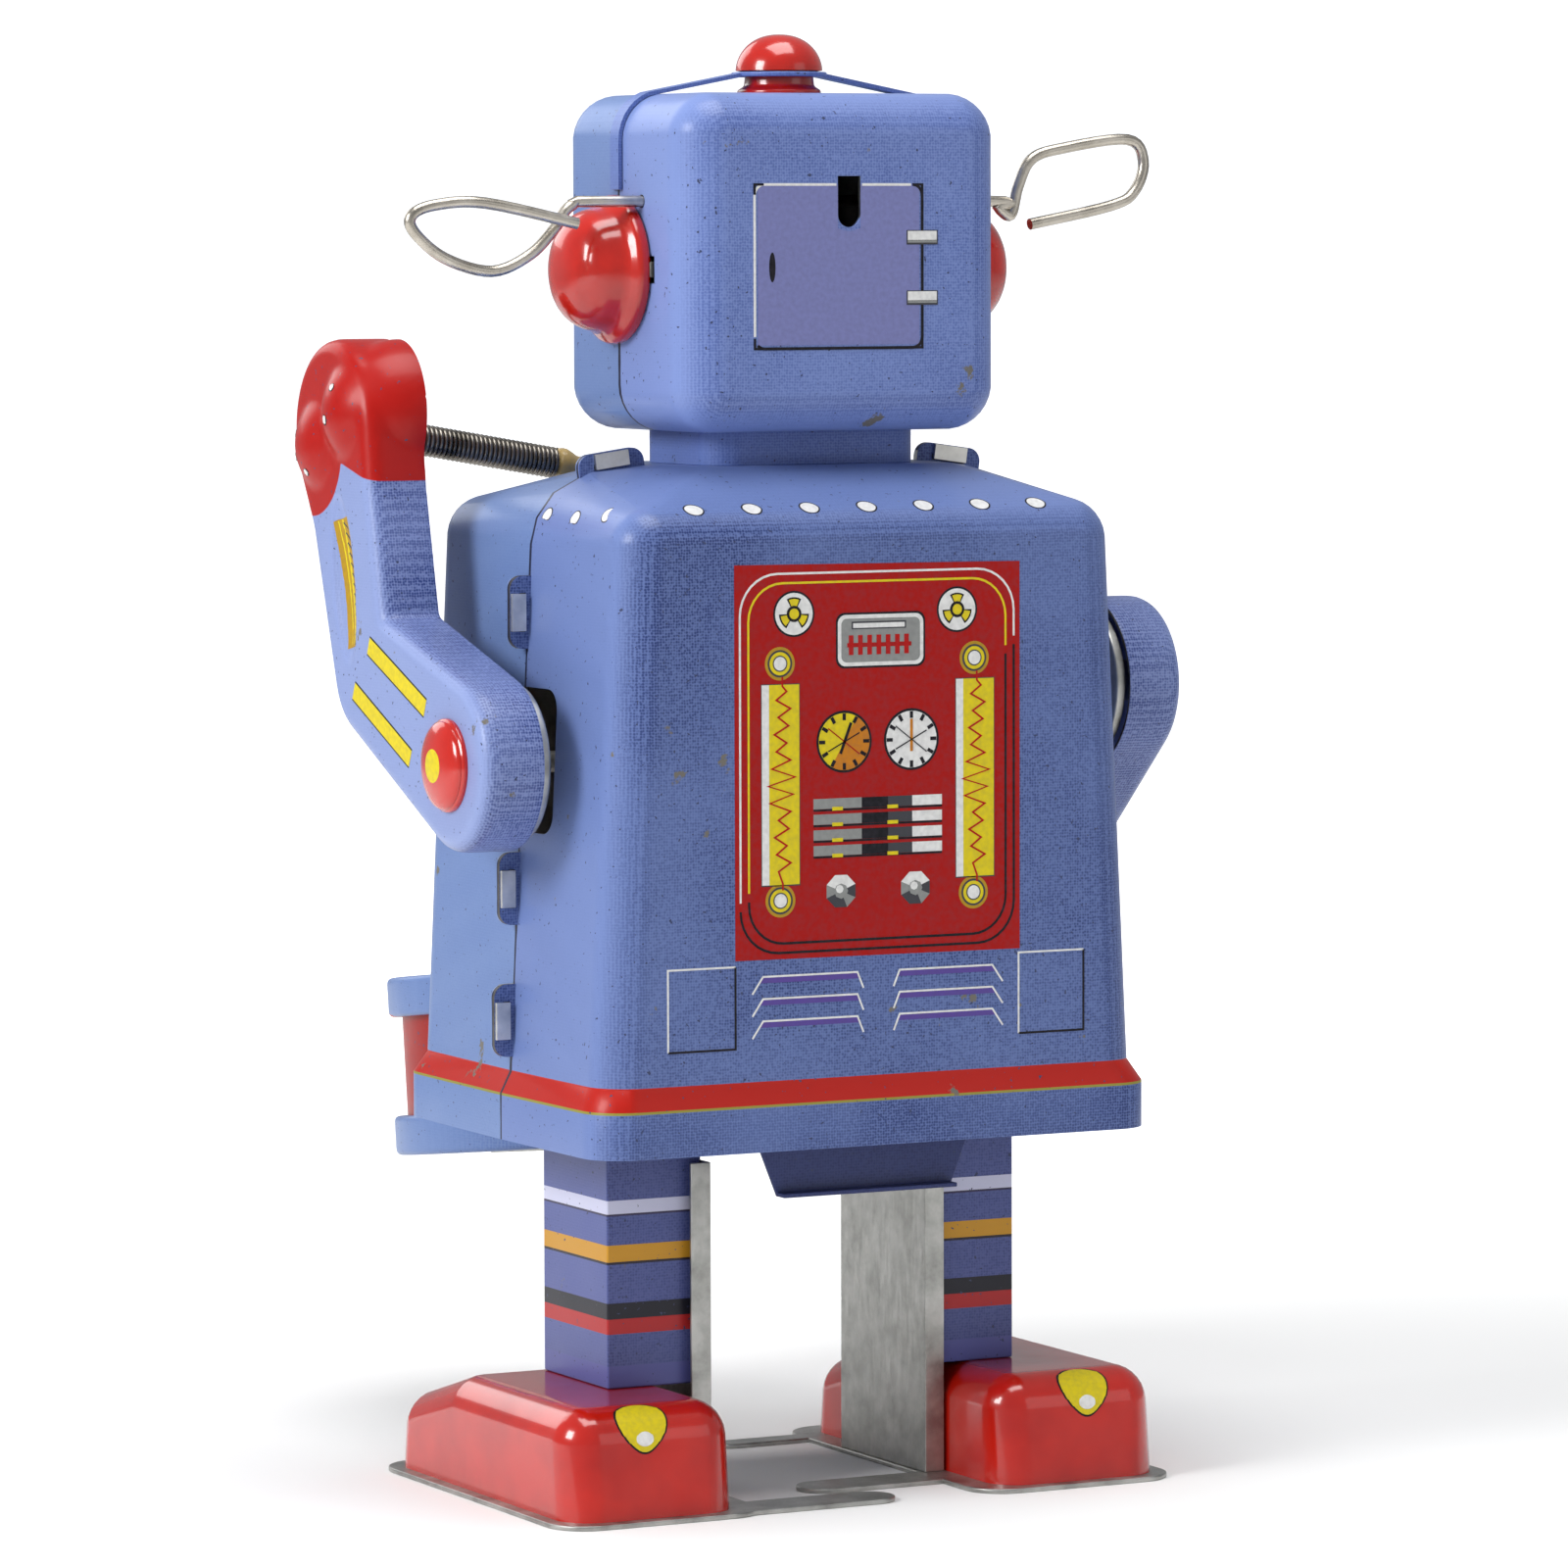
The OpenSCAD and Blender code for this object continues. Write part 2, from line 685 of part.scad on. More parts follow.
module stick_tip() {
    on_stick()
        translate([0, 0, stick_l])
        rotate_extrude()
        polygon(concat([[0, 0], [1.5, 0], [1.5, 1.6], [1, 2.2]],
            [for (a = [-50 : 10 : 90]) [2.1 * cos(a), tip_l - 2.1 + 2.1 * sin(a)]]));
}

// Left arm frame at rest, and the right one mirrored and lowered
module at_left_arm() { translate([arm_in_x, arm_y, arm_z]) children(); }
module at_right_arm() {
    mirror_x() translate([arm_in_x, arm_y, arm_z + right_rise]) rotate([arm_rest_drop, 0, 0]) children();
}

module arm_shell_left() { color("#6a83cc") at_left_arm() arm_shell(); }
module arm_hub_left() { color("#8a8a86") at_left_arm() arm_hub(); }
module arm_button_left() { color("#c41414") at_left_arm() arm_button(); }
module arm_axle_left() { color("silver") at_left_arm() arm_axle(); }
module arm_lever_left() { color("silver") at_left_arm() arm_lever(); }
module stick_spring_left() { color("#8f8a80") at_left_arm() stick_spring(); }
module stick_tip_left() { color("#d8b45a") at_left_arm() stick_tip(); }
module arm_shell_right() { color("#6a83cc") at_right_arm() arm_shell(); }
module arm_hub_right() { color("#8a8a86") at_right_arm() arm_hub(); }
module arm_button_right() { color("#c41414") at_right_arm() arm_button(); }
module arm_axle_right() { color("silver") at_right_arm() arm_axle(); }
module arm_lever_right() { color("silver") at_right_arm() arm_lever(); }
module stick_spring_right() { color("#8f8a80") at_right_arm() stick_spring(); }
module stick_tip_right() { color("#d8b45a") at_right_arm() stick_tip(); }

// ---------- drum ----------

drum_y = front_depth + skirt_out + hoop_r + drum_gap;
drum_z = skirt_z + drum_rise;
drum_wall_r = hoop_r - hoop_out;
drum_wall_t = 0.6;
head_t = 0.4;
hoop_lip = 0.6;

// A point [y, z] in the drum's own frame, in the robot's frame
function on_drum(p) = [
    -drum_y + p[0] * cos(drum_tilt) - p[1] * sin(drum_tilt),
    drum_z + p[0] * sin(drum_tilt) + p[1] * cos(drum_tilt)];

module at_drum() { translate([0, -drum_y, drum_z]) rotate([drum_tilt, 0, 0]) children(); }

module drum_shell() {
    h = drum_h / 2 - hoop_lip - head_t;
    color("#c41414") at_drum()
        difference() {
            translate([0, 0, -h]) cylinder(h = 2 * h, r = drum_wall_r, $fn = 96);
            translate([0, 0, -h - 1]) cylinder(h = 2 * h + 2, r = drum_wall_r - drum_wall_t, $fn = 96);
        }
}

module drum_hoop() {
    translate([0, 0, drum_h / 2])
        rotate_extrude($fn = 96)
        polygon([[drum_wall_r + eps, -hoop_h], [hoop_r, -hoop_h], [hoop_r, -0.5], [hoop_r - 0.5, 0],
            [drum_wall_r - 1.2, 0], [drum_wall_r - 1.2, -hoop_lip], [drum_wall_r + eps, -hoop_lip]]);
}

module drum_head() {
    translate([0, 0, drum_h / 2 - hoop_lip - head_t]) cylinder(h = head_t, r = drum_wall_r, $fn = 96);
}

module drum_hoop_top() { color("#7fa0dc") at_drum() drum_hoop(); }
module drum_hoop_bottom() { color("#7fa0dc") at_drum() mirror([0, 0, 1]) drum_hoop(); }
module drum_head_top() { color("#f2efe6") at_drum() drum_head(); }
module drum_head_bottom() { color("#f2efe6") at_drum() mirror([0, 0, 1]) drum_head(); }

// Strap from the front lip of the floor to the underside of the drum
module drum_bracket() {
    lip_front = lip_in - front_depth - base_past - tin;
    under = -drum_h / 2 - tin / 2;
    path = [[lip_front, skirt_z], [lip_front, on_drum([hoop_r + 1, under])[1] + 0.4],
        on_drum([hoop_r + 1, under]), on_drum([-hoop_r + 6, under])];
    color("#8a8a86") slab_x(-5, 5) band(path, tin);
}

// ---------- legs ----------

// Inner steel channel: a web that hangs on the hip pin, with a flange at each edge
module leg_channel() {
    x = leg_in_x;
    difference() {
        slab_x(x, x + web_t) {
            translate([-channel_front, sole_t]) square([channel_front + channel_rear, skirt_z - 3 - sole_t]);
            translate([hip_y - web_top_r, skirt_z - 4]) square([2 * web_top_r, hip_z - skirt_z + 4]);
            translate([hip_y, hip_z]) circle(web_top_r);
        }
        rod_x([hip_y, hip_z], hip_d / 2 + run_fit, x - 1, x + 2);
    }
    for (y = [-channel_front, channel_rear - web_t])
        translate([x, y, sole_t]) cube([flange_reach, web_t, skirt_z - 3 - sole_t]);
}

// Printed outer cover, a box open at the top, at the bottom and towards the web
module leg_cover() {
    x = leg_in_x + web_t;
    translate([x, -cover_front, cover_z0])
        difference() {
            cube([cover_out, cover_front + cover_rear, cover_top - cover_z0]);
            translate([-1, tin, -1])
                cube([cover_out - tin + 1, cover_front + cover_rear - 2 * tin, cover_top - cover_z0 + 2]);
        }
}

// Rounded upper of the shoe, drawn smaller by g on every wall
module shoe_block(g, drop) {
    heel_r = 4.5;
    toe_r = toe_h / 2 - 0.2;
    x0 = shoe_in_x;
    x1 = shoe_in_x + shoe_w;
    hull() {
        for (x = [x0 + heel_r, x1 - heel_r]) {
            translate([x, shoe_rear - heel_r, sole_t - drop]) cylinder(h = eps, r = heel_r - g, $fn = 32);
            translate([x, shoe_rear - heel_r - 1, sole_t + shoe_h - heel_r]) sphere(heel_r - g, $fn = 32);
            translate([x, -cover_front, sole_t + shoe_h - heel_r]) sphere(heel_r - g, $fn = 32);
        }
        for (x = [x0 + toe_r, x1 - toe_r]) {
            translate([x, -shoe_front + toe_r, sole_t - drop]) cylinder(h = eps, r = toe_r - g, $fn = 32);
            translate([x, -shoe_front + toe_r + 0.6, sole_t + toe_h - toe_r]) sphere(toe_r - g, $fn = 32);
        }
    }
}

module shoe() {
    difference() {
        shoe_block(0, 0);
        shoe_block(tin, eps);
    }
}

// Flat sole with two tongues towards the other foot, at the given places in Y
module sole(rear_y, front_y) {
    x0 = sole_in_x;
    x1 = shoe_in_x + shoe_w + sole_lip;
    y0 = -shoe_front - sole_lip;
    y1 = shoe_rear + sole_lip;
    r = 5;
    reach = x0 + tongue_past;
    linear_extrude(sole_t) {
        translate([x0 + r, y0]) square([x1 - x0 - 2 * r, y1 - y0]);
        translate([x0, y0 + r]) square([x1 - x0, y1 - y0 - 2 * r]);
        for (x = [x0 + r, x1 - r]) for (y = [y0 + r, y1 - r]) translate([x, y]) circle(r);
        for (t = [[rear_y, rear_tongue_r, reach], [front_y, front_tongue_r, reach - 6]]) {
            translate([x0 - t[2] + t[1], t[0] - t[1]]) square([t[2] - t[1] + r, 2 * t[1]]);
            translate([x0 - t[2] + t[1], t[0]]) circle(t[1]);
        }
    }
}

module leg_cover_left() { color("#6a83cc") leg_cover(); }
module leg_channel_left() { color("#a8aaa6") leg_channel(); }
module shoe_left() { color("#c41414") shoe(); }
module sole_left() { color("#a8aaa6") sole(21, -14); }
module leg_cover_right() { color("#6a83cc") mirror_x() leg_cover(); }
module leg_channel_right() { color("#a8aaa6") mirror_x() leg_channel(); }
module shoe_right() { color("#c41414") mirror_x() shoe(); }
module sole_right() { color("#a8aaa6") mirror_x() sole(11.6, -22); }

// ---------- motor ----------

// Plate on the left, with its arm bearing at the height z
module motor_plate(z) {
    difference() {
        translate([plate_x, -plate_front, plate_z0])
            cube([plate_t, plate_front + plate_rear, plate_top - plate_z0]);
        for (hole = [
            [great_at, arbor_d / 2 + run_fit],
            [crank_at, crank_arbor_r + run_fit],
            [escape_at, thin_arbor_r + run_fit],
            [pallet_at, thin_arbor_r + run_fit],
            [[hip_y, hip_z], hip_d / 2 + run_fit],
            [[arm_y, z], axle_d / 2 + bearing_wall + eps]])
            rod_x(hole[0], hole[1], plate_x - 1, plate_x + plate_t + 1);
    }
}

module motor_plate_left() { color("#b0aea6") motor_plate(arm_z); }
module motor_plate_right() { color("#b0aea6") mirror_x() motor_plate(arm_z + right_rise); }
module motor_pillars() { color("#9a9890") for (p = pillar_at) rod_x(p, pillar_r, -plate_x, plate_x); }

// Shouldered pin in each motor plate, with a riveted end, that carries a leg
module hip_pins() {
    end_x = leg_in_x + web_t + 0.4;
    shoulder_x = plate_x + plate_t;
    color("silver")
        for (s = [0, 1]) mirror([s, 0, 0]) {
            rod_x([hip_y, hip_z], hip_d / 2, plate_x - 0.6, end_x + 1);
            rod_x([hip_y, hip_z], hip_d / 2 + 0.7, plate_x - 0.6, plate_x);
            rod_x([hip_y, hip_z], hip_d / 2 + 1.2, shoulder_x, leg_in_x - 0.3);
            rod_x([hip_y, hip_z], hip_d / 2 + 0.9, end_x, end_x + 1);
        }
}

module arm_bearing(z) {
    difference() {
        rod_x([arm_y, z], axle_d / 2 + bearing_wall, plate_x - 2, bearing_end);
        rod_x([arm_y, z], axle_d / 2 + run_fit, plate_x - 3, bearing_end + 1);
    }
}

module arm_bearing_left() { color("#9a9890") arm_bearing(arm_z); }
module arm_bearing_right() { color("#9a9890") mirror_x() arm_bearing(arm_z + right_rise); }

// Flat spiral spring round the winding arbor
module mainspring() {
    turns = 5;
    r0 = arbor_d / 2 + 0.8;
    r1 = 13.6;
    path = [for (a = [0 : 15 : 360 * turns])
        (r0 + (r1 - r0) * a / (360 * turns)) * [cos(a), sin(a)]];
    color("#4a4e58")
        translate([0, great_at[0], great_at[1]])
        slab_x(-8.6, -2.6) band(path, 0.4);
}

module winding_arbor() {
    color("silver")
        rod_x(great_at, arbor_d / 2, -key_x - key_reach + 2.6, plate_x + plate_t + arbor_past);
}

module ratchet_wheel() {
    teeth = 12;
    color("#9a9890")
        difference() {
            translate([0, great_at[0], great_at[1]])
                slab_x(great_x - 1.2, great_x - 0.2)
                polygon([for (i = [0 : teeth - 1]) for (c = [[0, 3.4], [0.12, 4.4]])
                    c[1] * [cos(360 / teeth * (i + c[0])), sin(360 / teeth * (i + c[0]))]]);
            rod_x(great_at, arbor_d / 2 + eps, great_x - 2, great_x + 1);
        }
}

// Click that rides on the great wheel's face, just clear of the ratchet's tips
module click_pawl() {
    color("#9a9890")
        translate([0, great_at[0], great_at[1]])
        slab_x(great_x - 1, great_x)
        polygon([[4.7, 0.6], [4.8, -0.9], [9.2, -1.6], [10.6, 0.4], [9.4, 2.2]]);
}

module winding_key() {
    x0 = -key_x - key_reach;
    bow_z = key_h / 2 - key_bow_r;
    color("#b0aea6")
        difference() {
            union() {
                rod_x(great_at, arbor_d / 2 + 1, x0 + 2, -key_x);
                translate([0, 0, great_at[1]])
                    slab_y(great_at[0] - 0.5, great_at[0] + 0.5)
                    for (s = [1, -1]) difference() {
                        union() {
                            translate([x0 + key_bow_r, s * bow_z]) circle(key_bow_r);
                            translate([x0 + 1.2, min(0, s * bow_z)]) square([3.4, bow_z]);
                        }
                        translate([x0 + key_bow_r, s * bow_z]) circle(1.3);
                    }
            }
            rod_x(great_at, arbor_d / 2 + eps, x0 + 2.5, -key_x + 1);
        }
}

module great_wheel() {
    color("#c0a25a")
        difference() {
            translate([0, great_at[0], great_at[1]])
                slab_x(great_x, great_x + wheel_t) gear_outline(great_teeth, train_a);
            rod_x(great_at, arbor_d / 2 + run_fit, great_x - 1, great_x + 2);
        }
}

module crankshaft() {
    past = plate_x + plate_t + arbor_past;
    color("#c0a25a") {
        rod_x(crank_at, crank_arbor_r, -past, past);
        translate([0, crank_at[0], crank_at[1]]) {
            slab_x(great_x - 0.4, great_x + wheel_t + 0.4)
                gear_outline(crank_pinion, train_a + 180 + 180 / crank_pinion);
            slab_x(-1, 0) gear_outline(crank_teeth, train_b);
        }
    }
}

module crank_disc() {
    face = crank_disc_x + crank_disc_t;
    difference() {
        union() {
            rod_x(crank_at, crank_disc_r, crank_disc_x, face);
            rod_x(crank_at + [0, crank_throw], 0.8, face - eps, face + 0.7);
        }
        rod_x(crank_at, crank_arbor_r + eps, crank_disc_x - 1, crank_disc_x + 3);
    }
}

module crank_disc_left() { color("#9a9890") crank_disc(); }
module crank_disc_right() {
    color("#9a9890")
        translate([0, 2 * crank_at[0], 2 * crank_at[1]])
        rotate([180, 0, 0])
        mirror_x() crank_disc();
}

module escape_wheel() {
    past = plate_x + plate_t + arbor_past;
    color("#c0a25a") {
        rod_x(escape_at, thin_arbor_r, -past, past);
        translate([0, escape_at[0], escape_at[1]]) {
            slab_x(-2, 1) gear_outline(escape_pinion, train_b + 180 + 180 / escape_pinion);
            slab_x(3, 4)
                polygon([for (i = [0 : escape_teeth - 1]) for (c = [[0, escape_r], [0.15, 4.9], [0.6, 4.9]])
                    c[1] * [cos(360 / escape_teeth * (i + c[0])), sin(360 / escape_teeth * (i + c[0]))]]);
        }
    }
}

// Rocking anchor astride the escape wheel
module pallet() {
    past = plate_x + plate_t + arbor_past;
    color("#9a9890") {
        rod_x(pallet_at, thin_arbor_r, -past, past);
        translate([0, pallet_at[0], pallet_at[1]])
            slab_x(3, 4)
            polygon([[-5.6, -1.6], [-5.2, -3.4], [-4.4, -1.4], [0, -1.1], [4.4, -1.4], [5.2, -3.4],
                [5.6, -1.6], [4, 0.8], [0, 1.8], [-4, 0.8]]);
    }
}

// ---------- the nodes ----------

body_rear_shell();
body_front_shell();
base_plate();
neck_collar();
head_rear_shell();
head_front_shell();
head_strap();
dome_light();
ear_left();
ear_right();
antenna_wire();
arm_shell_left();
arm_hub_left();
arm_button_left();
arm_axle_left();
arm_lever_left();
stick_spring_left();
stick_tip_left();
arm_shell_right();
arm_hub_right();
arm_button_right();
arm_axle_right();
arm_lever_right();
stick_spring_right();
stick_tip_right();
drum_shell();
drum_hoop_top();
drum_hoop_bottom();
drum_head_top();
drum_head_bottom();
drum_bracket();
leg_cover_left();
leg_channel_left();
shoe_left();
sole_left();
leg_cover_right();
leg_channel_right();
shoe_right();
sole_right();
motor_plate_left();
motor_plate_right();
motor_pillars();
hip_pins();
arm_bearing_left();
arm_bearing_right();
mainspring();
winding_arbor();
ratchet_wheel();
click_pawl();
winding_key();
great_wheel();
crankshaft();
crank_disc_left();
crank_disc_right();
escape_wheel();
pallet();
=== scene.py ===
# %% [markdown]
# This lesson dresses a clockwork tin robot. The working parts come from the imported CAD frame
# and stay where they are. Round them go the stamped tin shells, the printed lines and the
# wire, each made from a primitive, an outline or a copy of a CAD node and shaped with operators,
# as a tin toy starts from flat sheet that is printed first and pressed afterwards.

# %% Load the frame
import math

import bpy
from mathutils import Matrix, Quaternion, Vector


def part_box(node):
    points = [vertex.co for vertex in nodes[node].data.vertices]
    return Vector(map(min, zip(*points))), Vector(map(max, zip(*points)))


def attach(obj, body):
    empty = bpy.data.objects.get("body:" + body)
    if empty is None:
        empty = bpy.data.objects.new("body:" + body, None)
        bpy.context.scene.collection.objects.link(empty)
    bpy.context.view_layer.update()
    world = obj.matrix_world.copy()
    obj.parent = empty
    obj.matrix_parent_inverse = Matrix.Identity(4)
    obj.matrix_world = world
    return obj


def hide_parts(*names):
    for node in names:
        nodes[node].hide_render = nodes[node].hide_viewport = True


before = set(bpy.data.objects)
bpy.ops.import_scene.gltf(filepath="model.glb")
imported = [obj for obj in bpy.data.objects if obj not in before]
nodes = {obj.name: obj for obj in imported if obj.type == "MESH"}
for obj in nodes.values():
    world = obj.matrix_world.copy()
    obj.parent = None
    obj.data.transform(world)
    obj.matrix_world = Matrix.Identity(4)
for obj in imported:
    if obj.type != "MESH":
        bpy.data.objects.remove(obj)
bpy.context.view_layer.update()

MM = 0.001
MERGE = 0.002     # vertices closer than this many mm are one

# %% [markdown]
# Operators act on whatever is selected, so each step starts by letting go of everything and
# taking hold of one object. Faces, edges and vertices are picked by where they are.

# %% Helpers for holding and shaping
def take(*objects):
    if bpy.context.object and bpy.context.object.mode != "OBJECT":
        bpy.ops.object.mode_set(mode="OBJECT")
    bpy.ops.object.select_all(action="DESELECT")
    for obj in objects:
        obj.select_set(True)
    bpy.context.view_layer.objects.active = objects[0]


def new_object(name, data):
    obj = bpy.data.objects.new(name, data)
    bpy.context.scene.collection.objects.link(obj)
    return obj


def shift(x, y, z):
    """The matrix of a move by so many mm."""
    return Matrix.Translation(Vector((x, y, z)) * MM)


def coat(obj, finish):
    obj.data.materials.append(finish)
    return obj


def name_it(name):
    obj = bpy.context.object
    obj.name = obj.data.name = name
    return obj


def modify(obj, kind, **settings):
    modifier = obj.modifiers.new(kind.title(), kind)
    for key, value in settings.items():
        setattr(modifier, key, value)
    take(obj)
    bpy.ops.object.modifier_apply(modifier=modifier.name)


def pick(obj, part, test=lambda place: True):
    """Opens edit mode with only the vertices, edges or faces whose middles pass the test selected."""
    take(obj)
    mesh = obj.data
    groups = {"VERT": mesh.vertices, "EDGE": mesh.edges, "FACE": mesh.polygons}
    bpy.context.tool_settings.mesh_select_mode = [part == kind for kind in groups]
    for group in groups.values():
        group.foreach_set("select", [False] * len(group))
    place = {"VERT": lambda v: v.co,
             "EDGE": lambda e: (mesh.vertices[e.vertices[0]].co + mesh.vertices[e.vertices[1]].co) / 2,
             "FACE": lambda f: f.center}[part]
    for item in groups[part]:
        item.select = bool(test(place(item)))
    bpy.ops.object.mode_set(mode="EDIT")


def leave():
    bpy.ops.object.mode_set(mode="OBJECT")


def open_merged(obj):
    """Opens edit mode with doubled vertices closed and everything selected."""
    take(obj)
    bpy.ops.object.mode_set(mode="EDIT")
    bpy.ops.mesh.select_all(action="SELECT")
    bpy.ops.mesh.remove_doubles(threshold=MERGE * MM)


def tidy(obj, angle=30):
    """Closes doubled vertices, turns all faces outwards and shades the soft edges smooth."""
    open_merged(obj)
    bpy.ops.mesh.normals_make_consistent(inside=False)
    leave()
    bpy.ops.object.shade_smooth_by_angle(angle=math.radians(angle))
    return obj


def join(*objects):
    take(*objects)
    bpy.ops.object.join()
    return bpy.context.object


# %% [markdown]
# Metal parts with flat faces keep the CAD shape. A copy of the node is merged into one skin,
# its edges get the small round that a die or a tumbler leaves, and the copy stands for the
# node. That round is what catches the light along every edge.

# %% Copies of CAD nodes with rounded edges
def rounded_copy(node, edge):
    """A merged copy of a CAD node, with no materials and its edges rounded by so many mm."""
    obj = new_object(node + "_piece", nodes[node].data.copy())
    obj.data.name = obj.name
    open_merged(obj)
    bpy.ops.mesh.dissolve_limited(angle_limit=math.radians(0.3))
    leave()
    obj.data.materials.clear()
    modify(obj, "BEVEL", width=edge * MM, segments=2, limit_method="ANGLE",
           angle_limit=math.radians(40), use_clamp_overlap=True)
    bpy.ops.object.shade_smooth_by_angle(angle=math.radians(35))
    modify(obj, "WEIGHTED_NORMAL", keep_sharp=True)
    return obj


def seat(obj, body, replaces=()):
    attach(obj, body)
    if replaces:
        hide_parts(*replaces)
    return obj


# %% [markdown]
# Every finish starts from its colour as printed or as the metal has it. One function turns a
# colour's hex value to linear light, and the small ones add and feed nodes.

# %% Helpers for finishes
def colour(hex_value):
    channels = [int(hex_value[i:i + 2], 16) / 255 for i in (1, 3, 5)]
    return tuple([c / 12.92 if c <= 0.04045 else ((c + 0.055) / 1.055) ** 2.4 for c in channels] + [1])


def feed(tree, node, inputs):
    """Gives each named input a value, or a link from another node's output."""
    for socket, source in inputs.items():
        if isinstance(source, bpy.types.NodeSocket):
            tree.links.new(source, node.inputs[socket])
        else:
            node.inputs[socket].default_value = source


def put(tree, kind, inputs=(), **settings):
    node = tree.nodes.new(kind)
    for key, value in settings.items():
        setattr(node, key, value)
    feed(tree, node, dict(inputs))
    return node


def ramp(tree, factor, stops):
    """Colours or grey values between stops of (position, value)."""
    node = put(tree, "ShaderNodeValToRGB", {0: factor})
    while len(node.color_ramp.elements) < len(stops):
        node.color_ramp.elements.new(0.5)
    for element, (at, value) in zip(node.color_ramp.elements, stops):
        element.position = at
        element.color = value if isinstance(value, tuple) else (value, value, value, 1)
    return node.outputs[0]


def start_finish(name):
    finish = bpy.data.materials.new(name)
    finish.use_nodes = True
    tree = finish.node_tree
    shader = tree.nodes["Principled BSDF"]
    where = put(tree, "ShaderNodeTexCoord").outputs["Object"]
    return finish, tree, shader, where


def mix(tree, factor, a, b):
    return put(tree, "ShaderNodeMix", {0: factor, 6: a, 7: b}, data_type="RGBA").outputs[2]


def calc(tree, operation, *values):
    return put(tree, "ShaderNodeMath", dict(enumerate(values)), operation=operation).outputs[0]


def along(tree, vector, axis):
    return put(tree, "ShaderNodeSeparateXYZ", {0: vector}).outputs[axis]


def noise(tree, where, size_mm, detail=2.0, rough=0.5):
    """Noise whose blotches are about size_mm across."""
    settings = {"Vector": where, "Scale": 1 / (size_mm * MM), "Detail": detail, "Roughness": rough}
    return put(tree, "ShaderNodeTexNoise", settings).outputs[0]


def bumps(tree, shader, layers):
    """Chains bump layers of (height socket, depth in mm, strength) into the shader."""
    normal = None
    for height, depth, strength in layers:
        links = {"Height": height, "Distance": depth * MM, "Strength": strength}
        if normal is not None:
            links["Normal"] = normal
        normal = put(tree, "ShaderNodeBump", links).outputs[0]
    tree.links.new(normal, shader.inputs["Normal"])


# %% [markdown]
# Tinplate is thin steel coated with tin. The sheet is printed flat by offset lithography, in
# dots about a quarter of a millimetre apart, and varnished, and then stamped. So the colour
# has a fine grain of dots, the varnish gives a soft gloss with an orange-peel ripple, and small
# chips at the edges show grey metal. How dense the dots are also follows the direction each
# face looks, and that darkening is painted shade, not print.

# %% Lithographed tinplate
DOT_PITCH = 0.34     # real dots are 0.25 mm apart, drawn coarser so that they show


def litho(name, ground, shade, painted=None, chips=0.575, dots=(0.25, 0.85), axis="Y"):
    """Printed tinplate. The dots grow from the first amount to the second on faces square to the
    axis, a painted shade that follows the face's direction, and painted(tree, where, base) may lay
    other inks over them."""
    finish, tree, shader, where = start_finish("lithographed_tinplate_" + name)
    cells = put(tree, "ShaderNodeTexVoronoi",
                {"Vector": where, "Scale": 1 / (DOT_PITCH * MM), "Randomness": 0.35})
    spot = ramp(tree, cells.outputs["Distance"], [(0.3, 1.0), (0.66, 0.32)])
    cloud = ramp(tree, noise(tree, where, 16, 3), [(0.35, 0.6), (0.7, 1.0)])
    # Painted shade: the dot amount changes with how squarely a face looks along the axis.
    normal = put(tree, "ShaderNodeTexCoord").outputs["Normal"]
    facing = calc(tree, "ABSOLUTE", along(tree, normal, axis))
    facing_shade = ramp(tree, facing, [(0.35, dots[0]), (0.9, dots[1])])
    amount = calc(tree, "MULTIPLY", calc(tree, "MULTIPLY", spot, cloud), facing_shade)
    base = mix(tree, amount, colour(ground), colour(shade))
    if painted:
        base = painted(tree, where, base)
    speck = ramp(tree, noise(tree, where, 0.55, 1), [(0.245, 1.0), (0.275, 0.0)])
    base = mix(tree, speck, base, colour("#3A4160"))
    chip = ramp(tree, noise(tree, where, 7, 9, 0.62), [(chips + 0.105, 0.0), (chips + 0.12, 1.0)])
    base = mix(tree, chip, base, colour("#6E6A62"))
    gloss = ramp(tree, noise(tree, where, 9, 4), [(0.3, 0.3), (0.75, 0.44)])
    feed(tree, shader, {"Base Color": base, "Roughness": gloss, "IOR": 1.46, "Specular IOR Level": 0.3,
                        "Coat Weight": 0.1, "Coat Roughness": 0.16})
    bumps(tree, shader, [(noise(tree, where, 22, 1), 0.12, 0.6), (noise(tree, where, 0.5, 2), 0.01, 0.5),
                         (chip, -0.03, 0.6)])
    return finish


def by_height(tree, where, base, bands):
    """Lays bands of ink by height: bands are (from mm, to mm, colour)."""
    height = along(tree, where, "Z")
    for low, high, hex_value in bands:
        inside = calc(tree, "COMPARE", height, (low + high) / 2 * MM, (high - low) / 2 * MM)
        base = mix(tree, inside, base, colour(hex_value))
    return base


def skirt_stripe(tree, where, base):
    return by_height(tree, where, base, [(48.55, 51.15, "#B41A0E"), (48.25, 48.55, "#8F8A3A")])


def leg_stripes(tree, where, base):
    return by_height(tree, where, base, [
        (34.3, 35.9, "#C9CBE4"), (34.05, 34.3, "#3A3550"), (28.6, 30.6, "#C8922A"),
        (28.3, 28.6, "#2A2530"), (21.8, 23.7, "#22222C"), (20.0, 21.8, "#B32A2C"), (13.0, 16.2, "#5A5FA0")])


def fist_red(tree, where, base):
    mask = put(tree, "ShaderNodeAttribute", attribute_name="fist").outputs["Fac"]
    edge = ramp(tree, mask, [(0.495, 0.0), (0.505, 1.0)])
    return mix(tree, edge, base, colour("#A80E06"))


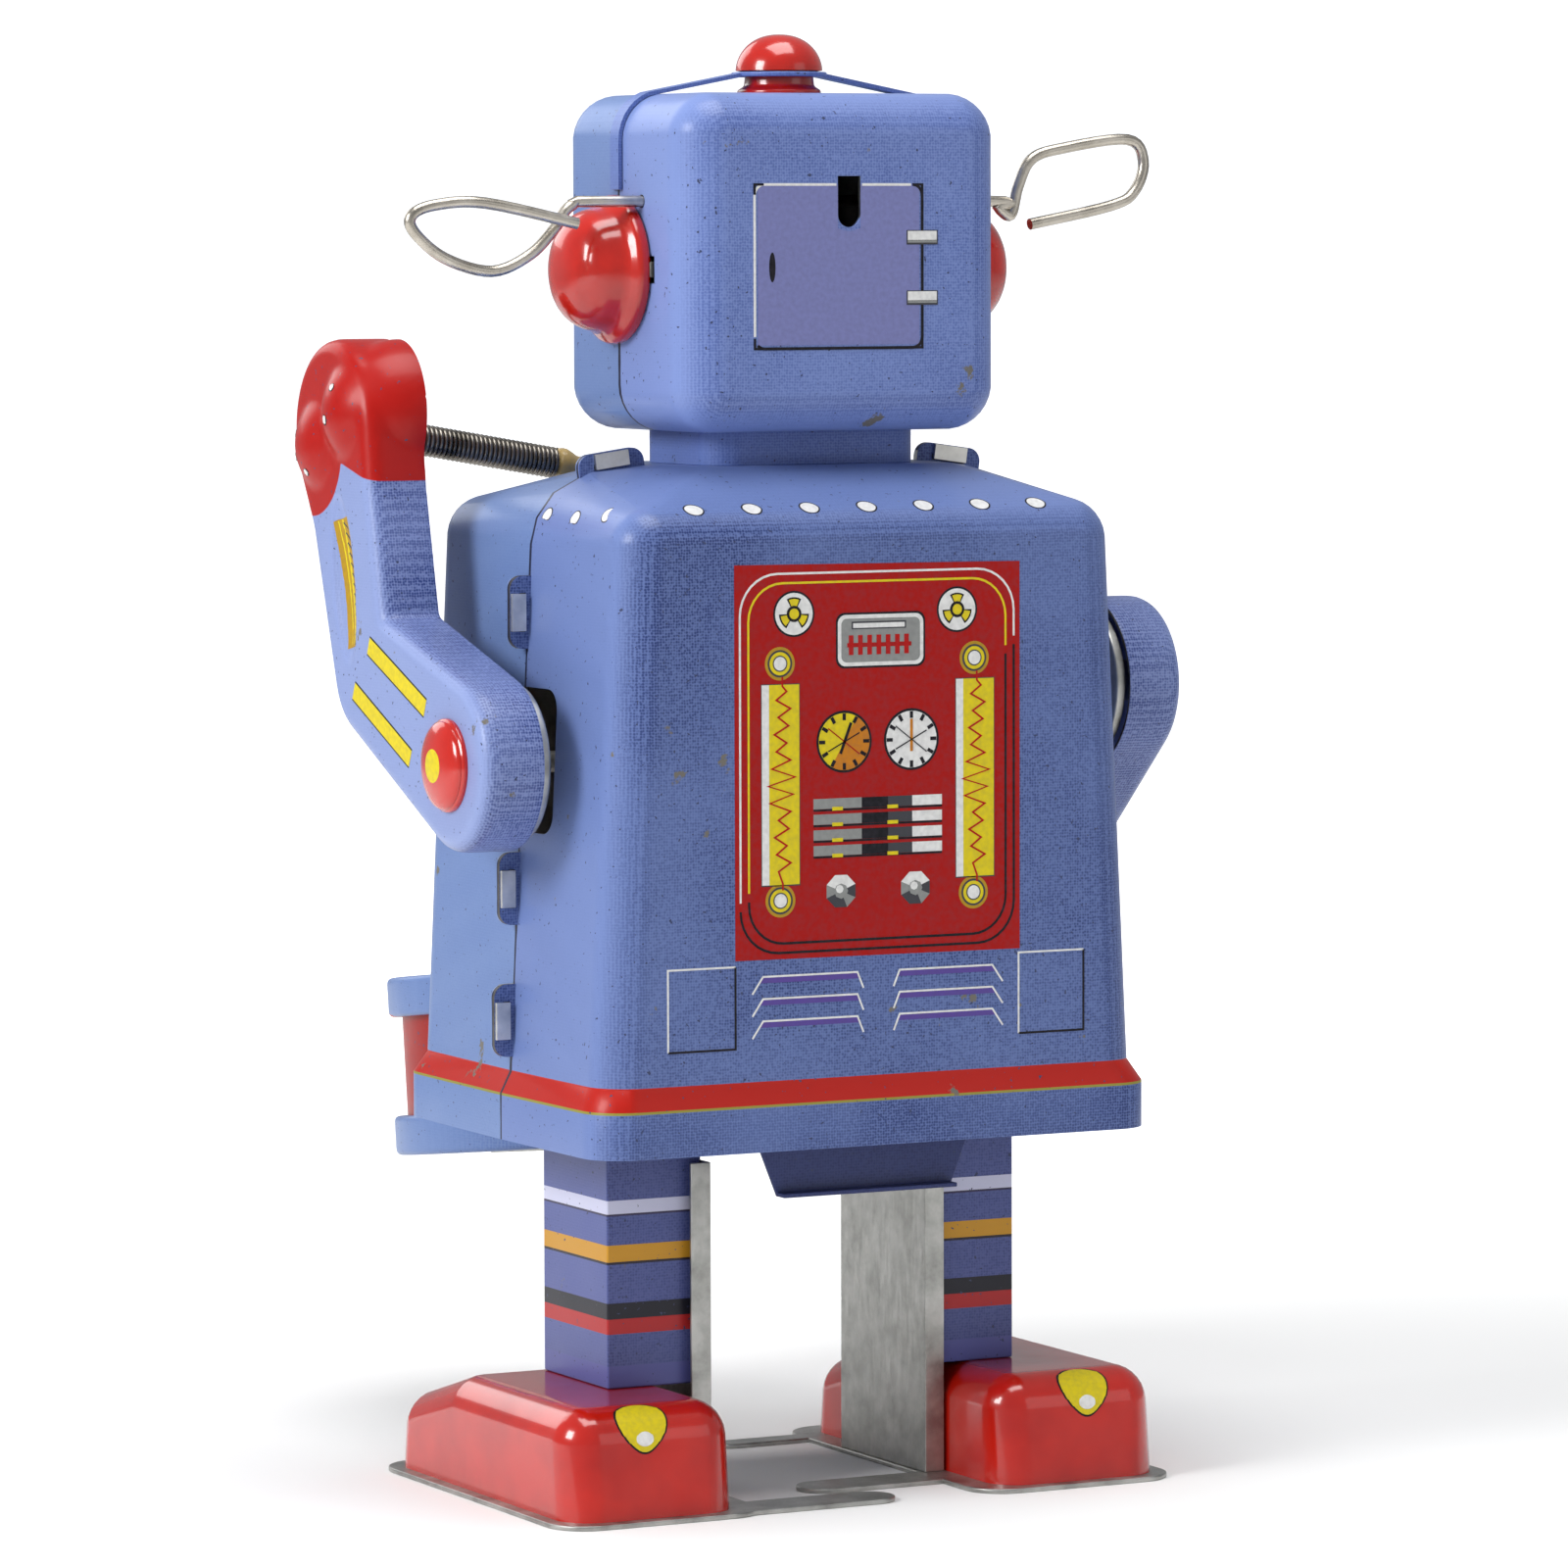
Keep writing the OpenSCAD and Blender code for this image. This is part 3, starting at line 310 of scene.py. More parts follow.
def seam_gap_shade(tree, where, base):
    """A dark band of wandering width is painted along the edges that meet at the seam: painted shade of the
    gap between the shells.
    """
    wander = calc(tree, "MULTIPLY", noise(tree, where, 6, 3), 0.5 * MM)
    in_seam_shade = calc(tree, "COMPARE", along(tree, where, "Y"), 0.0, wander)
    return mix(tree, in_seam_shade, base, colour("#20243A"))


# The printed skirt stripe, then the painted shade along the seam.
def stripe_and_seam_shade(tree, where, base):
    return seam_gap_shade(tree, where, skirt_stripe(tree, where, base))


# The dots pair of each finish is painted shade: faces square to its axis get the second amount, so flat backs
# and fronts come out darker, and on the arms every face but the outer one.
tin_back = litho("blue", "#6E82B8", "#0C1E5C", stripe_and_seam_shade, dots=(0.1, 0.86))
tin_front = litho("sky_blue", "#7088B8", "#3A589C", stripe_and_seam_shade)
tin_head = litho("head_blue", "#7C90C8", "#2A4088", seam_gap_shade, dots=(0.1, 0.75))
tin_flat = litho("plain_blue", "#6C82BE", "#243A80", dots=(0.3, 0.6))
# The base plate under the body gets a much darker ground and denser dots, which is painted shade.
tin_floor = litho("shaded_blue", "#3A4478", "#1E2650", dots=(0.5, 0.9))
tin_arm = litho("arm_blue", "#8C9CCC", "#1C3074", fist_red, dots=(1.0, 0.12), axis="X")
tin_leg = litho("leg_blue", "#5C66A0", "#2A3368", leg_stripes)
tin_red = litho("red", "#A01208", "#800A04", dots=(0.3, 0.3), chips=0.62)
print("dots per mm", round(1 / DOT_PITCH, 1))

# %% [markdown]
# Bare parts are cold-rolled steel, with the fine scratches of rolling and handling and a dull
# grey bloom. The wire is drawn and bright, the spring is blued and oily, the wheels are brass.

# %% Bare metals
def bare_metal(name, tint, dark, rough, grain_mm, stretch, scratch=0.35):
    finish, tree, shader, where = start_finish(name)
    drawn = put(tree, "ShaderNodeMapping", {"Vector": where, "Scale": stretch}).outputs[0]
    grain = noise(tree, drawn, grain_mm, 4, 0.6)
    bloom = noise(tree, where, 4, 5, 0.6)
    tone = ramp(tree, bloom, [(0.3, colour(dark)), (0.62, colour(tint))])
    gloss = ramp(tree, calc(tree, "MULTIPLY", grain, bloom), [(0.1, rough - 0.1), (0.42, rough + 0.14)])
    feed(tree, shader, {"Base Color": tone, "Roughness": gloss, "Metallic": 1.0})
    bumps(tree, shader, [(grain, 0.01, scratch), (bloom, 0.03, 0.3)])
    return finish


steel = bare_metal("cold_rolled_steel", "#BEBEBA", "#8E8E8A", 0.42, 0.5, (1, 1, 0.12))
bright_tin = bare_metal("folded_bright_tin", "#F0EEE6", "#C6C4BC", 0.4, 0.5, (1, 1, 1))
dark_edge = bare_metal("sheared_steel_edge", "#6E6C6A", "#45444A", 0.5, 0.4, (1, 1, 1))
wire_metal = bare_metal("drawn_nickel_wire", "#CFC8BC", "#ACA599", 0.3, 0.4, (0.1, 1, 1), 0.15)
spring_metal = bare_metal("oiled_spring_wire", "#8E8880", "#5A564F", 0.3, 0.4, (1, 1, 1), 0.2)
brass = bare_metal("stamped_brass", "#C9A75A", "#98793A", 0.32, 0.5, (1, 1, 1))
spring_strip = bare_metal("blued_spring_strip", "#4E5668", "#343A4A", 0.3, 0.5, (0.1, 1, 1))

# %% [markdown]
# The red ears, the dome and the shoes are tinplate with a thick coat of stoving enamel, and
# its gloss is deeper than the printed varnish. The drumstick's tip is turned wood with a
# yellow lacquer.

# %% Enamel, lacquer and inks
def enamel(name, ground, shade, rough=0.16, wear="#7A3B30"):
    finish, tree, shader, where = start_finish(name)
    cloud = ramp(tree, noise(tree, where, 9, 3), [(0.35, 0.0), (0.75, 1.0)])
    tone = mix(tree, cloud, colour(ground), colour(shade))
    worn = ramp(tree, noise(tree, where, 3.2, 8, 0.66), [(0.735, 0.0), (0.75, 1.0)])
    tone = mix(tree, worn, tone, colour(wear))
    gloss = ramp(tree, noise(tree, where, 5, 3), [(0.3, rough), (0.8, rough + 0.12)])
    feed(tree, shader, {"Base Color": tone, "Roughness": gloss, "IOR": 1.52, "Coat Weight": 0.6,
                        "Coat Roughness": 0.06})
    bumps(tree, shader, [(noise(tree, where, 2.2, 2), 0.02, 0.5), (noise(tree, where, 14, 1), 0.12, 0.5)])
    return finish


red_enamel = enamel("stoved_enamel_red", "#C41C0C", "#A81208")
tip_lacquer = enamel("lacquered_turned_wood", "#C9AA66", "#A98A4C", 0.3, "#8A6A3A")
drum_skin = enamel("painted_card_white", "#ECE9E0", "#DAD5C8", 0.45, "#B8B09C")


def ink(name, hex_value):
    finish, tree, shader, where = start_finish("printed_ink_" + name)
    tone = mix(tree, ramp(tree, noise(tree, where, 0.6, 2), [(0.35, 0.0), (0.8, 0.22)]),
               colour(hex_value), colour("#4A4550"))
    feed(tree, shader, {"Base Color": tone, "Roughness": 0.38, "Specular IOR Level": 0.2})
    return finish


inks = {name: ink(name, value) for name, value in dict(
    white="#E4E4E2", black="#100F16", yellow="#DCC81C", orange="#C47A1C", red="#A40A05", cherry="#B00C06",
    grey="#8E908E", dark="#404146", lilac="#7A7EB2", purple="#5A4896", gold="#B48E20").items()}
print("inks", len(inks))

# %% [markdown]
# The body and the head are each two stampings that meet at a seam. The outside is printed,
# the inside is plain tin, and the cut edge shows dark metal. Faces are sorted by where they
# look: a face that looks back at the middle of the shell is inside.

# %% Body, head, neck and base shells
SKIRT_Z, LEDGE_Z = 43, 52                     # lower edge of the body, and top of its skirt
LOW_HALF_W, WALL_TAPER, WALL_H = 36, 3, 61    # side walls lean in by the taper over their height
EAR_T = 0.7                                   # seam ears reach this far back from the seam
OUTSIDE, INSIDE, EDGE, TAB = range(4)


def shell(node, outside, middle, edge_test, tabs=None):
    """A shell of the torso, each face with the finish of the outside, inside, cut edge or tabs."""
    obj = rounded_copy(node, 0.1)
    for finish in (outside, steel, dark_edge, bright_tin):
        coat(obj, finish)
    centre = Vector(middle) * MM
    for face in obj.data.polygons:
        looks_in = face.normal.dot(face.center - centre) < 0
        face.material_index = INSIDE if looks_in else OUTSIDE
        if edge_test(face.center / MM, face.normal):
            face.material_index = EDGE
        if tabs and tabs(face.center / MM):
            face.material_index = TAB
    return seat(obj, "torso", [node])


def seam_edge(place, normal):
    return abs(place.y) < 0.03 and abs(normal.y) > 0.9


def thin_rim(place, normal):
    return seam_edge(place, normal) or (place.z < SKIRT_Z + 0.05 and normal.z < -0.9)


def wall_x(z):
    """Where the body's side wall stands, in mm from the middle, at a height."""
    return LOW_HALF_W - WALL_TAPER * min(1.0, max(0.0, (z - LEDGE_Z) / WALL_H))


def rear_rim(place, normal):
    outside_wall = abs(place.x) > wall_x(place.z) + 0.25 and place.z > LEDGE_Z + 1
    return thin_rim(place, normal) or (outside_wall and place.y < EAR_T and abs(normal.y) < 0.7)


rear_shell = shell("body_rear_shell", tin_back, (0, 8, 80), rear_rim)
for face in rear_shell.data.polygons:
    if face.normal.y > 0.7 and face.center.y < (EAR_T + 0.2) * MM:
        face.material_index = OUTSIDE
shell("body_front_shell", tin_front, (0, -8, 80), thin_rim, tabs=lambda place: place.y > 0.05)
shell("head_rear_shell", tin_head, (0, 3, 146), seam_edge)
shell("head_front_shell", tin_front, (0, -3, 146), seam_edge)

for node, finish in (("neck_collar", tin_flat), ("base_plate", tin_floor), ("head_strap", tin_flat)):
    seat(coat(rounded_copy(node, 0.1), finish), "torso", [node])
print("shell faces", len(rear_shell.data.polygons))

# %% [markdown]
# Round parts such as ears, the dome, the drum's hoops and the buttons are spun: half of the
# outline is drawn as a row of edges, and the spin operator carries it round the axis.

# %% Spun parts
def spun(name, outline, steps=64):
    """Spins an outline of (radius, height) in mm round the Z axis."""
    mesh = bpy.data.meshes.new(name)
    mesh.from_pydata([(r * MM, 0, h * MM) for r, h in outline],
                     [(i, i + 1) for i in range(len(outline) - 1)], [])
    obj = new_object(name, mesh)
    pick(obj, "VERT")
    bpy.ops.mesh.spin(steps=steps, angle=2 * math.pi, center=(0, 0, 0), axis=(0, 0, 1))
    leave()
    return tidy(obj, 25)


def rounded_corner(points, radius):
    """The outline with each inner corner rounded by up to radius."""
    out, steps = [points[0]], 5
    for before, at, after in zip(points, points[1:], points[2:]):
        a, b, c = Vector(before), Vector(at), Vector(after)
        r = min(radius, (a - b).length / 2.1, (c - b).length / 2.1)
        start, end = b + (a - b).normalized() * r, b + (c - b).normalized() * r
        for i in range(steps + 1):
            t = i / steps
            out.append(tuple((1 - t) ** 2 * start + 2 * t * (1 - t) * b + t * t * end))
    return out + [points[-1]]


def move_mesh(obj, matrix):
    obj.data.transform(matrix)
    if matrix.determinant() < 0:
        obj.data.flip_normals()


def arc(radius, height, start, base=0.0, power=1.0, steps=12):
    """Quarter ellipse from (radius, base) up to (0, base + height)."""
    angles = [start + (math.pi / 2 - start) * i / steps for i in range(steps + 1)]
    return [(radius * math.cos(a) ** power, base + height * math.sin(a)) for a in angles]


ear_low, ear_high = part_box("ear_left")
ear_r, ear_z = (ear_high.z - ear_low.z) / 2 / MM, (ear_high.z + ear_low.z) / 2 / MM
head_side = 21.3
ear_outline = rounded_corner([(0, 0.02), (ear_r, 0.02), (ear_r, 1.4), (ear_r - 1.0, 2.2),
                              (ear_r - 1.3, 2.6)], 0.5)
ear_outline += arc(ear_r - 1.5, 5.2, 0.08, 2.7, 0.72)
for side, sign in (("left", 1), ("right", -1)):
    ear = spun("ear_piece_" + side, ear_outline)
    turn = Matrix.Rotation(sign * math.pi / 2, 4, "Y")
    move_mesh(ear, shift(sign * head_side, 0, ear_z) @ turn)
    seat(coat(ear, red_enamel), "torso", ["ear_" + side])
    tab_at = Vector((sign * (head_side - 0.1), ear_r - 0.6, ear_z)) * MM
    bpy.ops.mesh.primitive_cube_add(size=1, location=tab_at)
    tab = name_it("ear_tab_" + side)
    tab.scale = (0.8 * MM, 1.5 * MM, 1.9 * MM)
    bpy.ops.object.transform_apply(location=True, rotation=True, scale=True)
    modify(tab, "BEVEL", width=0.25 * MM, segments=3)
    seat(tidy(coat(tab, dark_edge)), "torso")

dome_low, dome_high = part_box("dome_light")
head_top = dome_low.z / MM
dome_base = dome_high.z / MM - 4.6
dome_stem = rounded_corner([(0, head_top + 0.02), (5.0, head_top + 0.02), (5.0, head_top + 0.5),
                            (4.2, head_top + 1.0), (4.1, dome_base - 0.5)], 0.3)
dome_bulb = [(4.1, dome_base + 0.05)] + arc(5.2, 4.55, 0.05, dome_base, 0.9, 16)
dome = spun("dome_light_piece", dome_stem + dome_bulb)
seat(coat(dome, red_enamel), "torso", ["dome_light"])
pad = spun("strap_pad", rounded_corner([(0, dome_base - 0.5), (5.7, dome_base - 0.5),
                                        (5.7, dome_base + 0.06), (0, dome_base + 0.06)], 0.2))
seat(coat(pad, tin_flat), "torso")
print("ear radius", round(ear_r, 1), "dome base", round(dome_base, 1))

# %% [markdown]
# The drum is a printed red wall with a blue hoop pressed over each end and a white head of
# painted card. Hoop and head are spun, and the whole drum leans forward by seven degrees.

# %% Drum
DRUM_TILT = math.radians(7)
wall_low, wall_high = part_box("drum_shell")
drum_centre = (wall_low + wall_high) / 2
stand = Matrix.Translation(drum_centre) @ Matrix.Rotation(DRUM_TILT, 4, "X")
HOOP_R, DRUM_H, HOOP_H, WALL_R = 23.9, 22.5, 5.0, 22.2
rim = DRUM_H / 2
hoop_outline = rounded_corner([(WALL_R - 1.2, rim - 0.6), (WALL_R - 1.2, rim), (HOOP_R, rim),
                               (HOOP_R, rim - HOOP_H), (WALL_R + 0.02, rim - HOOP_H),
                               (WALL_R + 0.02, rim - 0.6)], 0.9)
skin_edge = rounded_corner([(WALL_R - 0.3, rim - 1.0), (WALL_R - 0.1, rim - 0.8),
                            (WALL_R - 0.3, rim - 0.62)], 0.1)
hoop_outline.append(hoop_outline[0])
for end, sign in (("top", 1), ("bottom", -1)):
    hoop = spun("drum_hoop_piece_" + end, hoop_outline, 96)
    flip = Matrix.Diagonal((1, 1, sign, 1))
    move_mesh(hoop, stand @ flip)
    seat(tidy(coat(hoop, tin_front)), "torso", ["drum_hoop_" + end])
    skin = spun("drum_skin_" + end, [(0, rim - 1.0)] + skin_edge + [(0, rim - 0.55)], 96)
    move_mesh(skin, stand @ flip)
    seat(tidy(coat(skin, drum_skin)), "torso", ["drum_head_" + end])
wall = spun("drum_wall", [(WALL_R, 1.1 - rim), (WALL_R, rim - 1.1), (WALL_R - 0.6, rim - 1.1),
                          (WALL_R - 0.6, 1.1 - rim), (WALL_R, 1.1 - rim)], 96)
move_mesh(wall, stand)
seat(coat(wall, tin_red), "torso", ["drum_shell"])
seat(coat(rounded_copy("drum_bracket", 0.12), steel), "torso", ["drum_bracket"])
print("drum centre", [round(c / MM, 1) for c in drum_centre])

# %% [markdown]
# Each arm is a deep stamping. The outline runs round four circles, at the shoulder, elbow,
# wrist and fist, and is pulled out to the arm's depth. The fist gets two rounded lobes and
# the forearm a shallow trough. Remeshing and smoothing melt these together as a press does,
# then the back is cut open and the skin gets the thickness of tin.

# %% Arm outline
ARM_CIRCLES = [((0, 0), 10.3), ((-25.8, 9.8), 8.2), ((-31.5, 30.0), 9.2), ((-34.3, 38.2), 11.0)]
ARM_DEPTH = 7.6
ARM_AT = Vector((39, 6, 88)) * MM
RIGHT_RISE = Vector((0, 0, 7.3)) * MM
RIGHT_DROP = math.radians(67)


def round_point(centre, radius, angle):
    return centre + radius * Vector((math.cos(angle), math.sin(angle)))


def arm_outline(circles):
    """Points of the line that goes round all circles in a row, by their outer tangents."""
    steps = 14

    def side(s):
        lines = []
        for (a, ra), (b, rb) in zip(circles, circles[1:]):
            a, b = Vector(a), Vector(b)
            heading = math.atan2(b.y - a.y, b.x - a.x)
            lean = math.acos((ra - rb) / (b - a).length)
            lines.append((a, ra, b, rb, heading + s * lean))
        points = [round_point(lines[0][0], lines[0][1], lines[0][4])]
        for first, second in zip(lines, lines[1:]):
            turn = (second[4] - first[4] + math.pi) % (2 * math.pi) - math.pi
            if turn * s < 0:
                for i in range(steps + 1):
                    points.append(round_point(first[2], first[3], first[4] + turn * i / steps))
            else:
                points.append(round_point(first[2], first[3] / math.cos(turn / 2), first[4] + turn / 2))
        end = lines[-1]
        points.append(round_point(end[2], end[3], end[4]))
        return points, lines[0][4], end[4]

    left, left_start, left_end = side(1)
    right, right_start, right_end = side(-1)
    a, r = Vector(circles[-1][0]), circles[-1][1]
    sweep = (right_end - left_end) % (-2 * math.pi)
    cap = [round_point(a, r, left_end + sweep * i / 24) for i in range(1, 24)]
    a, r = Vector(circles[0][0]), circles[0][1]
    sweep = (left_start - right_start) % (-2 * math.pi)
    tail = [round_point(a, r, right_start + sweep * i / 32) for i in range(1, 32)]
    return left + cap + right[::-1] + tail


outline = arm_outline(ARM_CIRCLES)
print("arm outline points", len(outline))

# %% Arm stamping
def melt(obj, other, how):
    modify(obj, "BOOLEAN", operation=how, object=other, solver="EXACT")
    bpy.data.objects.remove(other)


def lump(size, at, turn=0.0):
    bpy.ops.mesh.primitive_uv_sphere_add(segments=48, ring_count=24, radius=MM)
    obj = bpy.context.object
    obj.data.transform(Matrix.Diagonal((*size, 1)))
    obj.data.transform(shift(*at) @ Matrix.Rotation(turn, 4, "X"))
    return obj


bpy.ops.mesh.primitive_circle_add(vertices=len(outline), radius=0.01, fill_type="NGON")
arm = name_it("arm_block")
for vertex, (y, z) in zip(arm.data.vertices, outline):
    vertex.co = (0, y * MM, z * MM)
pick(arm, "FACE")
bpy.ops.mesh.extrude_region_move(TRANSFORM_OT_translate={"value": (ARM_DEPTH * MM, 0, 0)})
leave()
tidy(arm)
pick(arm, "EDGE", lambda place: place.x > (ARM_DEPTH - 0.01) * MM)
bpy.ops.mesh.bevel(offset=1.8 * MM, segments=6, affect="EDGES")
leave()
melt(arm, lump((9.1, 8.2, 8.8), (0.4, -30.2, 40.4)), "UNION")
melt(arm, lump((9.2, 8.8, 8.6), (0.2, -38.2, 36.4)), "UNION")
melt(arm, lump((1.7, 3.3, 11.0), (8.1, -30.0, 20.5), math.radians(10)), "DIFFERENCE")
modify(arm, "REMESH", mode="VOXEL", voxel_size=0.42 * MM, adaptivity=0.0)
modify(arm, "SMOOTH", factor=0.5, iterations=9)
pick(arm, "FACE")
bpy.ops.mesh.bisect(plane_co=(0.5 * MM, 0, 0), plane_no=(1, 0, 0), clear_inner=True)
leave()
move_mesh(arm, shift(-0.5, 0, 0))
stretch = ARM_DEPTH / (ARM_DEPTH - 0.5)
arm.data.transform(Matrix.Diagonal((stretch, 1, 1, 1)))
modify(arm, "SOLIDIFY", thickness=0.5 * MM, offset=-1)
tidy(arm, 40)
fist = arm.data.attributes.new("fist", "FLOAT", "POINT")
for vertex, value in zip(arm.data.vertices, fist.data):
    y, z = vertex.co.y / MM, vertex.co.z / MM
    signed = max(z - 34.3 + 0.25 * (y + 30), 8.9 - math.hypot(y + 39.0, z - 36.7))
    value.value = 0.5 + 0.1 * signed
for finish in (tin_arm, steel, dark_edge):
    coat(arm, finish)
for face in arm.data.polygons:
    if abs(face.normal.x) > 0.9 and face.center.x < 0.1 * MM:
        face.material_index = EDGE
print("arm triangles", sum(len(f.vertices) - 2 for f in arm.data.polygons))

# %% Both arms in place
LEFT_ARM = Matrix.Translation(ARM_AT)
RIGHT_ARM = (Matrix.Diagonal((-1, 1, 1, 1)) @ Matrix.Translation(ARM_AT + RIGHT_RISE)
             @ Matrix.Rotation(RIGHT_DROP, 4, "X"))
ARMS = {"left": LEFT_ARM, "right": RIGHT_ARM}


def on_both_arms(model, name, replaces=()):
    """Copies a model made in the arm's own frame to both arms, each with its own mesh."""
    for side, frame_of_arm in ARMS.items():
        piece = new_object(f"{name}_{side}", model.data.copy())
        move_mesh(piece, frame_of_arm)
        seat(piece, side + "_arm", [f"{r}_{side}" for r in replaces])
    bpy.data.objects.remove(model)


def lay_on(obj, target, lift=0.03):
    """Bends a flat print on to a surface and gives it the thickness of a film of ink."""
    modify(obj, "SHRINKWRAP", target=target, wrap_method="NEAREST_SURFACEPOINT",
           wrap_mode="ABOVE_SURFACE", offset=lift * MM)
    modify(obj, "SOLIDIFY", thickness=(lift + 0.02) * MM, offset=-1)
    bpy.ops.object.shade_smooth_by_angle(angle=math.radians(50))
    return obj


def disc(name, radius, at, normal, ink_name, cuts=2):
    bpy.ops.mesh.primitive_circle_add(vertices=32, radius=radius * MM, fill_type="TRIFAN")
    obj = name_it(name)
    pick(obj, "FACE")
    bpy.ops.mesh.subdivide(number_cuts=cuts)
    leave()
    turn = Vector(normal).to_track_quat("Z", "Y").to_matrix().to_4x4()
    obj.data.transform(shift(*at) @ turn)
    return coat(obj, inks[ink_name])


STAND_UP = Matrix(((0, 0, 1, 0), (1, 0, 0, 0), (0, 1, 0, 0), (0, 0, 0, 1)))     # X, Y, Z to Y, Z, X


def bar(start, end, width, x, ink_name):
    """Strip of ink between two points (y, z) of the arm, at x."""
    a, b = Vector(start), Vector(end)
    bpy.ops.mesh.primitive_grid_add(x_subdivisions=26, y_subdivisions=4, size=1)
    obj = name_it("bar")
    obj.data.transform(Matrix.Diagonal(((b - a).length * MM, width * MM, 1, 1)))
    angle = math.atan2(b.y - a.y, b.x - a.x)
    middle = (a + b) / 2
    obj.data.transform(shift(x, middle.x, middle.y) @ Matrix.Rotation(angle, 4, "X") @ STAND_UP)
    return coat(obj, inks[ink_name])


prints = []
for start, end in (((-22.6, 12.9), (-6.4, 6.3)), ((-27.0, 7.3), (-10.7, 0.1))):
    prints.append(lay_on(bar(start, end, 2.5, ARM_DEPTH + 0.4, "black"), arm, 0.02))
    prints.append(lay_on(bar(start, end, 2.1, ARM_DEPTH + 0.4, "yellow"), arm, 0.035))
prints.append(lay_on(bar((-28.0, 12.6), (-31.6, 27.6), 3.1, ARM_DEPTH, "gold"), arm, 0.02))
prints.append(lay_on(bar((-28.3, 12.9), (-31.9, 27.4), 1.0, ARM_DEPTH, "yellow"), arm, 0.035))
for i in range(12):
    y, z = -28.1 - 3.5 * i / 12, 13.4 + 14.2 * i / 12
    line = bar((y - 0.1, z + 0.7), (y + 1.6, z - 0.5), 0.22, ARM_DEPTH, "dark")
    prints.append(lay_on(line, arm, 0.05))
for y, z in ((-29.8, 44.6), (-31.0, 39.4), (-43.6, 38.4), (-43.2, 34.2), (-38.2, 31.8)):
    prints.append(lay_on(disc("dot", 0.8, (11.5, y, z), (1, 0, 0), "black"), arm, 0.03))
    prints.append(lay_on(disc("dot", 0.62, (11.5, y, z), (1, 0, 0), "white"), arm, 0.08))
on_both_arms(join(*prints), "arm_print")
on_both_arms(arm, "arm_stamping", ["arm_shell"])
print("arm prints", len(prints))

# %% [markdown]
# The shoulder button is a red dome with a yellow centre. Behind the shoulder sits a turned
# steel dish. The drumstick is a close-wound spring: a ring of wire is carried round and
# along by the screw modifier, one wire thickness for each turn.

# %% Button, hub and drumstick
lay_out = Matrix.Rotation(math.pi / 2, 4, "Y")
button = spun("button", [(0, 0.01)] + rounded_corner([(5.5, 0.01), (5.5, 0.45), (5.2, 0.7)], 0.2)
              + arc(5.25, 1.5, 0.1, 0.62, 0.8, 12))
crown = [(2.9 * (1 - i / 6), 1.93 + 0.25 * math.sin(i / 6 * math.pi / 2)) for i in range(1, 7)]
centre = spun("button_centre", [(0, 1.6), (2.9, 1.86), (2.9, 1.9)] + crown)
for piece in (button, centre):
    move_mesh(piece, shift(ARM_DEPTH, 0, 0) @ lay_out)
on_both_arms(coat(centre, inks["yellow"]), "button_centre")
on_both_arms(coat(button, red_enamel), "button", ["arm_button"])
hub_outline = rounded_corner([(1.26, -2.2), (7.0, -2.2), (8.0, -1.5), (9.3, -1.3), (9.3, -0.1),
                              (8.8, -0.1), (8.8, -0.7), (2.5, -0.7), (2.5, 7.0), (1.26, 7.0)], 0.35)
hub = spun("hub", hub_outline + [(1.26, -2.2)])
move_mesh(hub, lay_out)
on_both_arms(coat(hub, steel), "hub_dish", ["arm_hub"])

STICK_R, WIRE_R, TURNS = 1.95, 0.3, 50
STICK_AT = Vector((46.6 - 0.9 - 39, -36, 39)) * MM
to_stick = Matrix.Translation(STICK_AT) @ Matrix.Rotation(math.radians(-90 - 9.9), 4, "Y")
bpy.ops.mesh.primitive_circle_add(vertices=8, radius=WIRE_R * MM)
coil = name_it("coil")
coil.data.transform(shift(STICK_R - WIRE_R, 0, WIRE_R) @ Matrix.Rotation(math.pi / 2, 4, "X"))
modify(coil, "SCREW", angle=2 * math.pi, screw_offset=0.605 * MM, iterations=TURNS, steps=18, render_steps=18,
       use_normal_calculate=True)
tidy(coil, 60)
pick(coil, "EDGE", lambda place: False)
bpy.ops.mesh.select_non_manifold()
bpy.ops.mesh.edge_face_add()
leave()
move_mesh(coil, to_stick)
on_both_arms(coat(coil, spring_metal), "stick_coil", ["stick_spring"])
tip_outline = rounded_corner([(1.9, 30.8), (2.05, 31.6), (1.7, 32.5), (1.25, 33.4), (1.5, 34.5), (1.95, 35.6),
                              (2.1, 36.7), (1.75, 37.7), (0.9, 38.1)], 0.6)
tip = spun("tip", [(0, 30.4), (1.5, 30.4)] + tip_outline + [(0, 38.1)], 40)
move_mesh(tip, to_stick)
on_both_arms(coat(tip, tip_lacquer), "stick_tip_piece", ["stick_tip"])

# %% [markdown]
# One wire crosses the head and is bent into a leaf-shaped loop at each end. A curve through
# its bends carries a round section, and is turned to a mesh with closed ends.

# %% Antenna wire
LOOP_LEFT = [(30.2, 0, -0.4), (32.7, 0.2, -3.2), (36, 0.5, -6.2), (41, 0.8, -8.1), (47, 1, -6.6),
             (51, 1.2, -3.6), (51.4, 1.3, -1.6), (48.5, 1.5, -0.4), (42.2, 1.8, -0.2), (30.6, 2.1, -2.6)]
LOOP_RIGHT = [(-26.4, 0, -0.8), (-28.2, 0, -1.7), (-29.2, 0.1, 1.8), (-30.9, 0.3, 5), (-34.9, 0.5, 6.3),
              (-43.8, 0.9, 7.4), (-45.9, 1.2, 4.8), (-44.5, 1.5, 1.2), (-41, 1.8, -0.6), (-29.6, 2.2, -2.8)]
WIRE_AT = Vector((0, 6, 153.5))
ANTENNA_R = 0.69


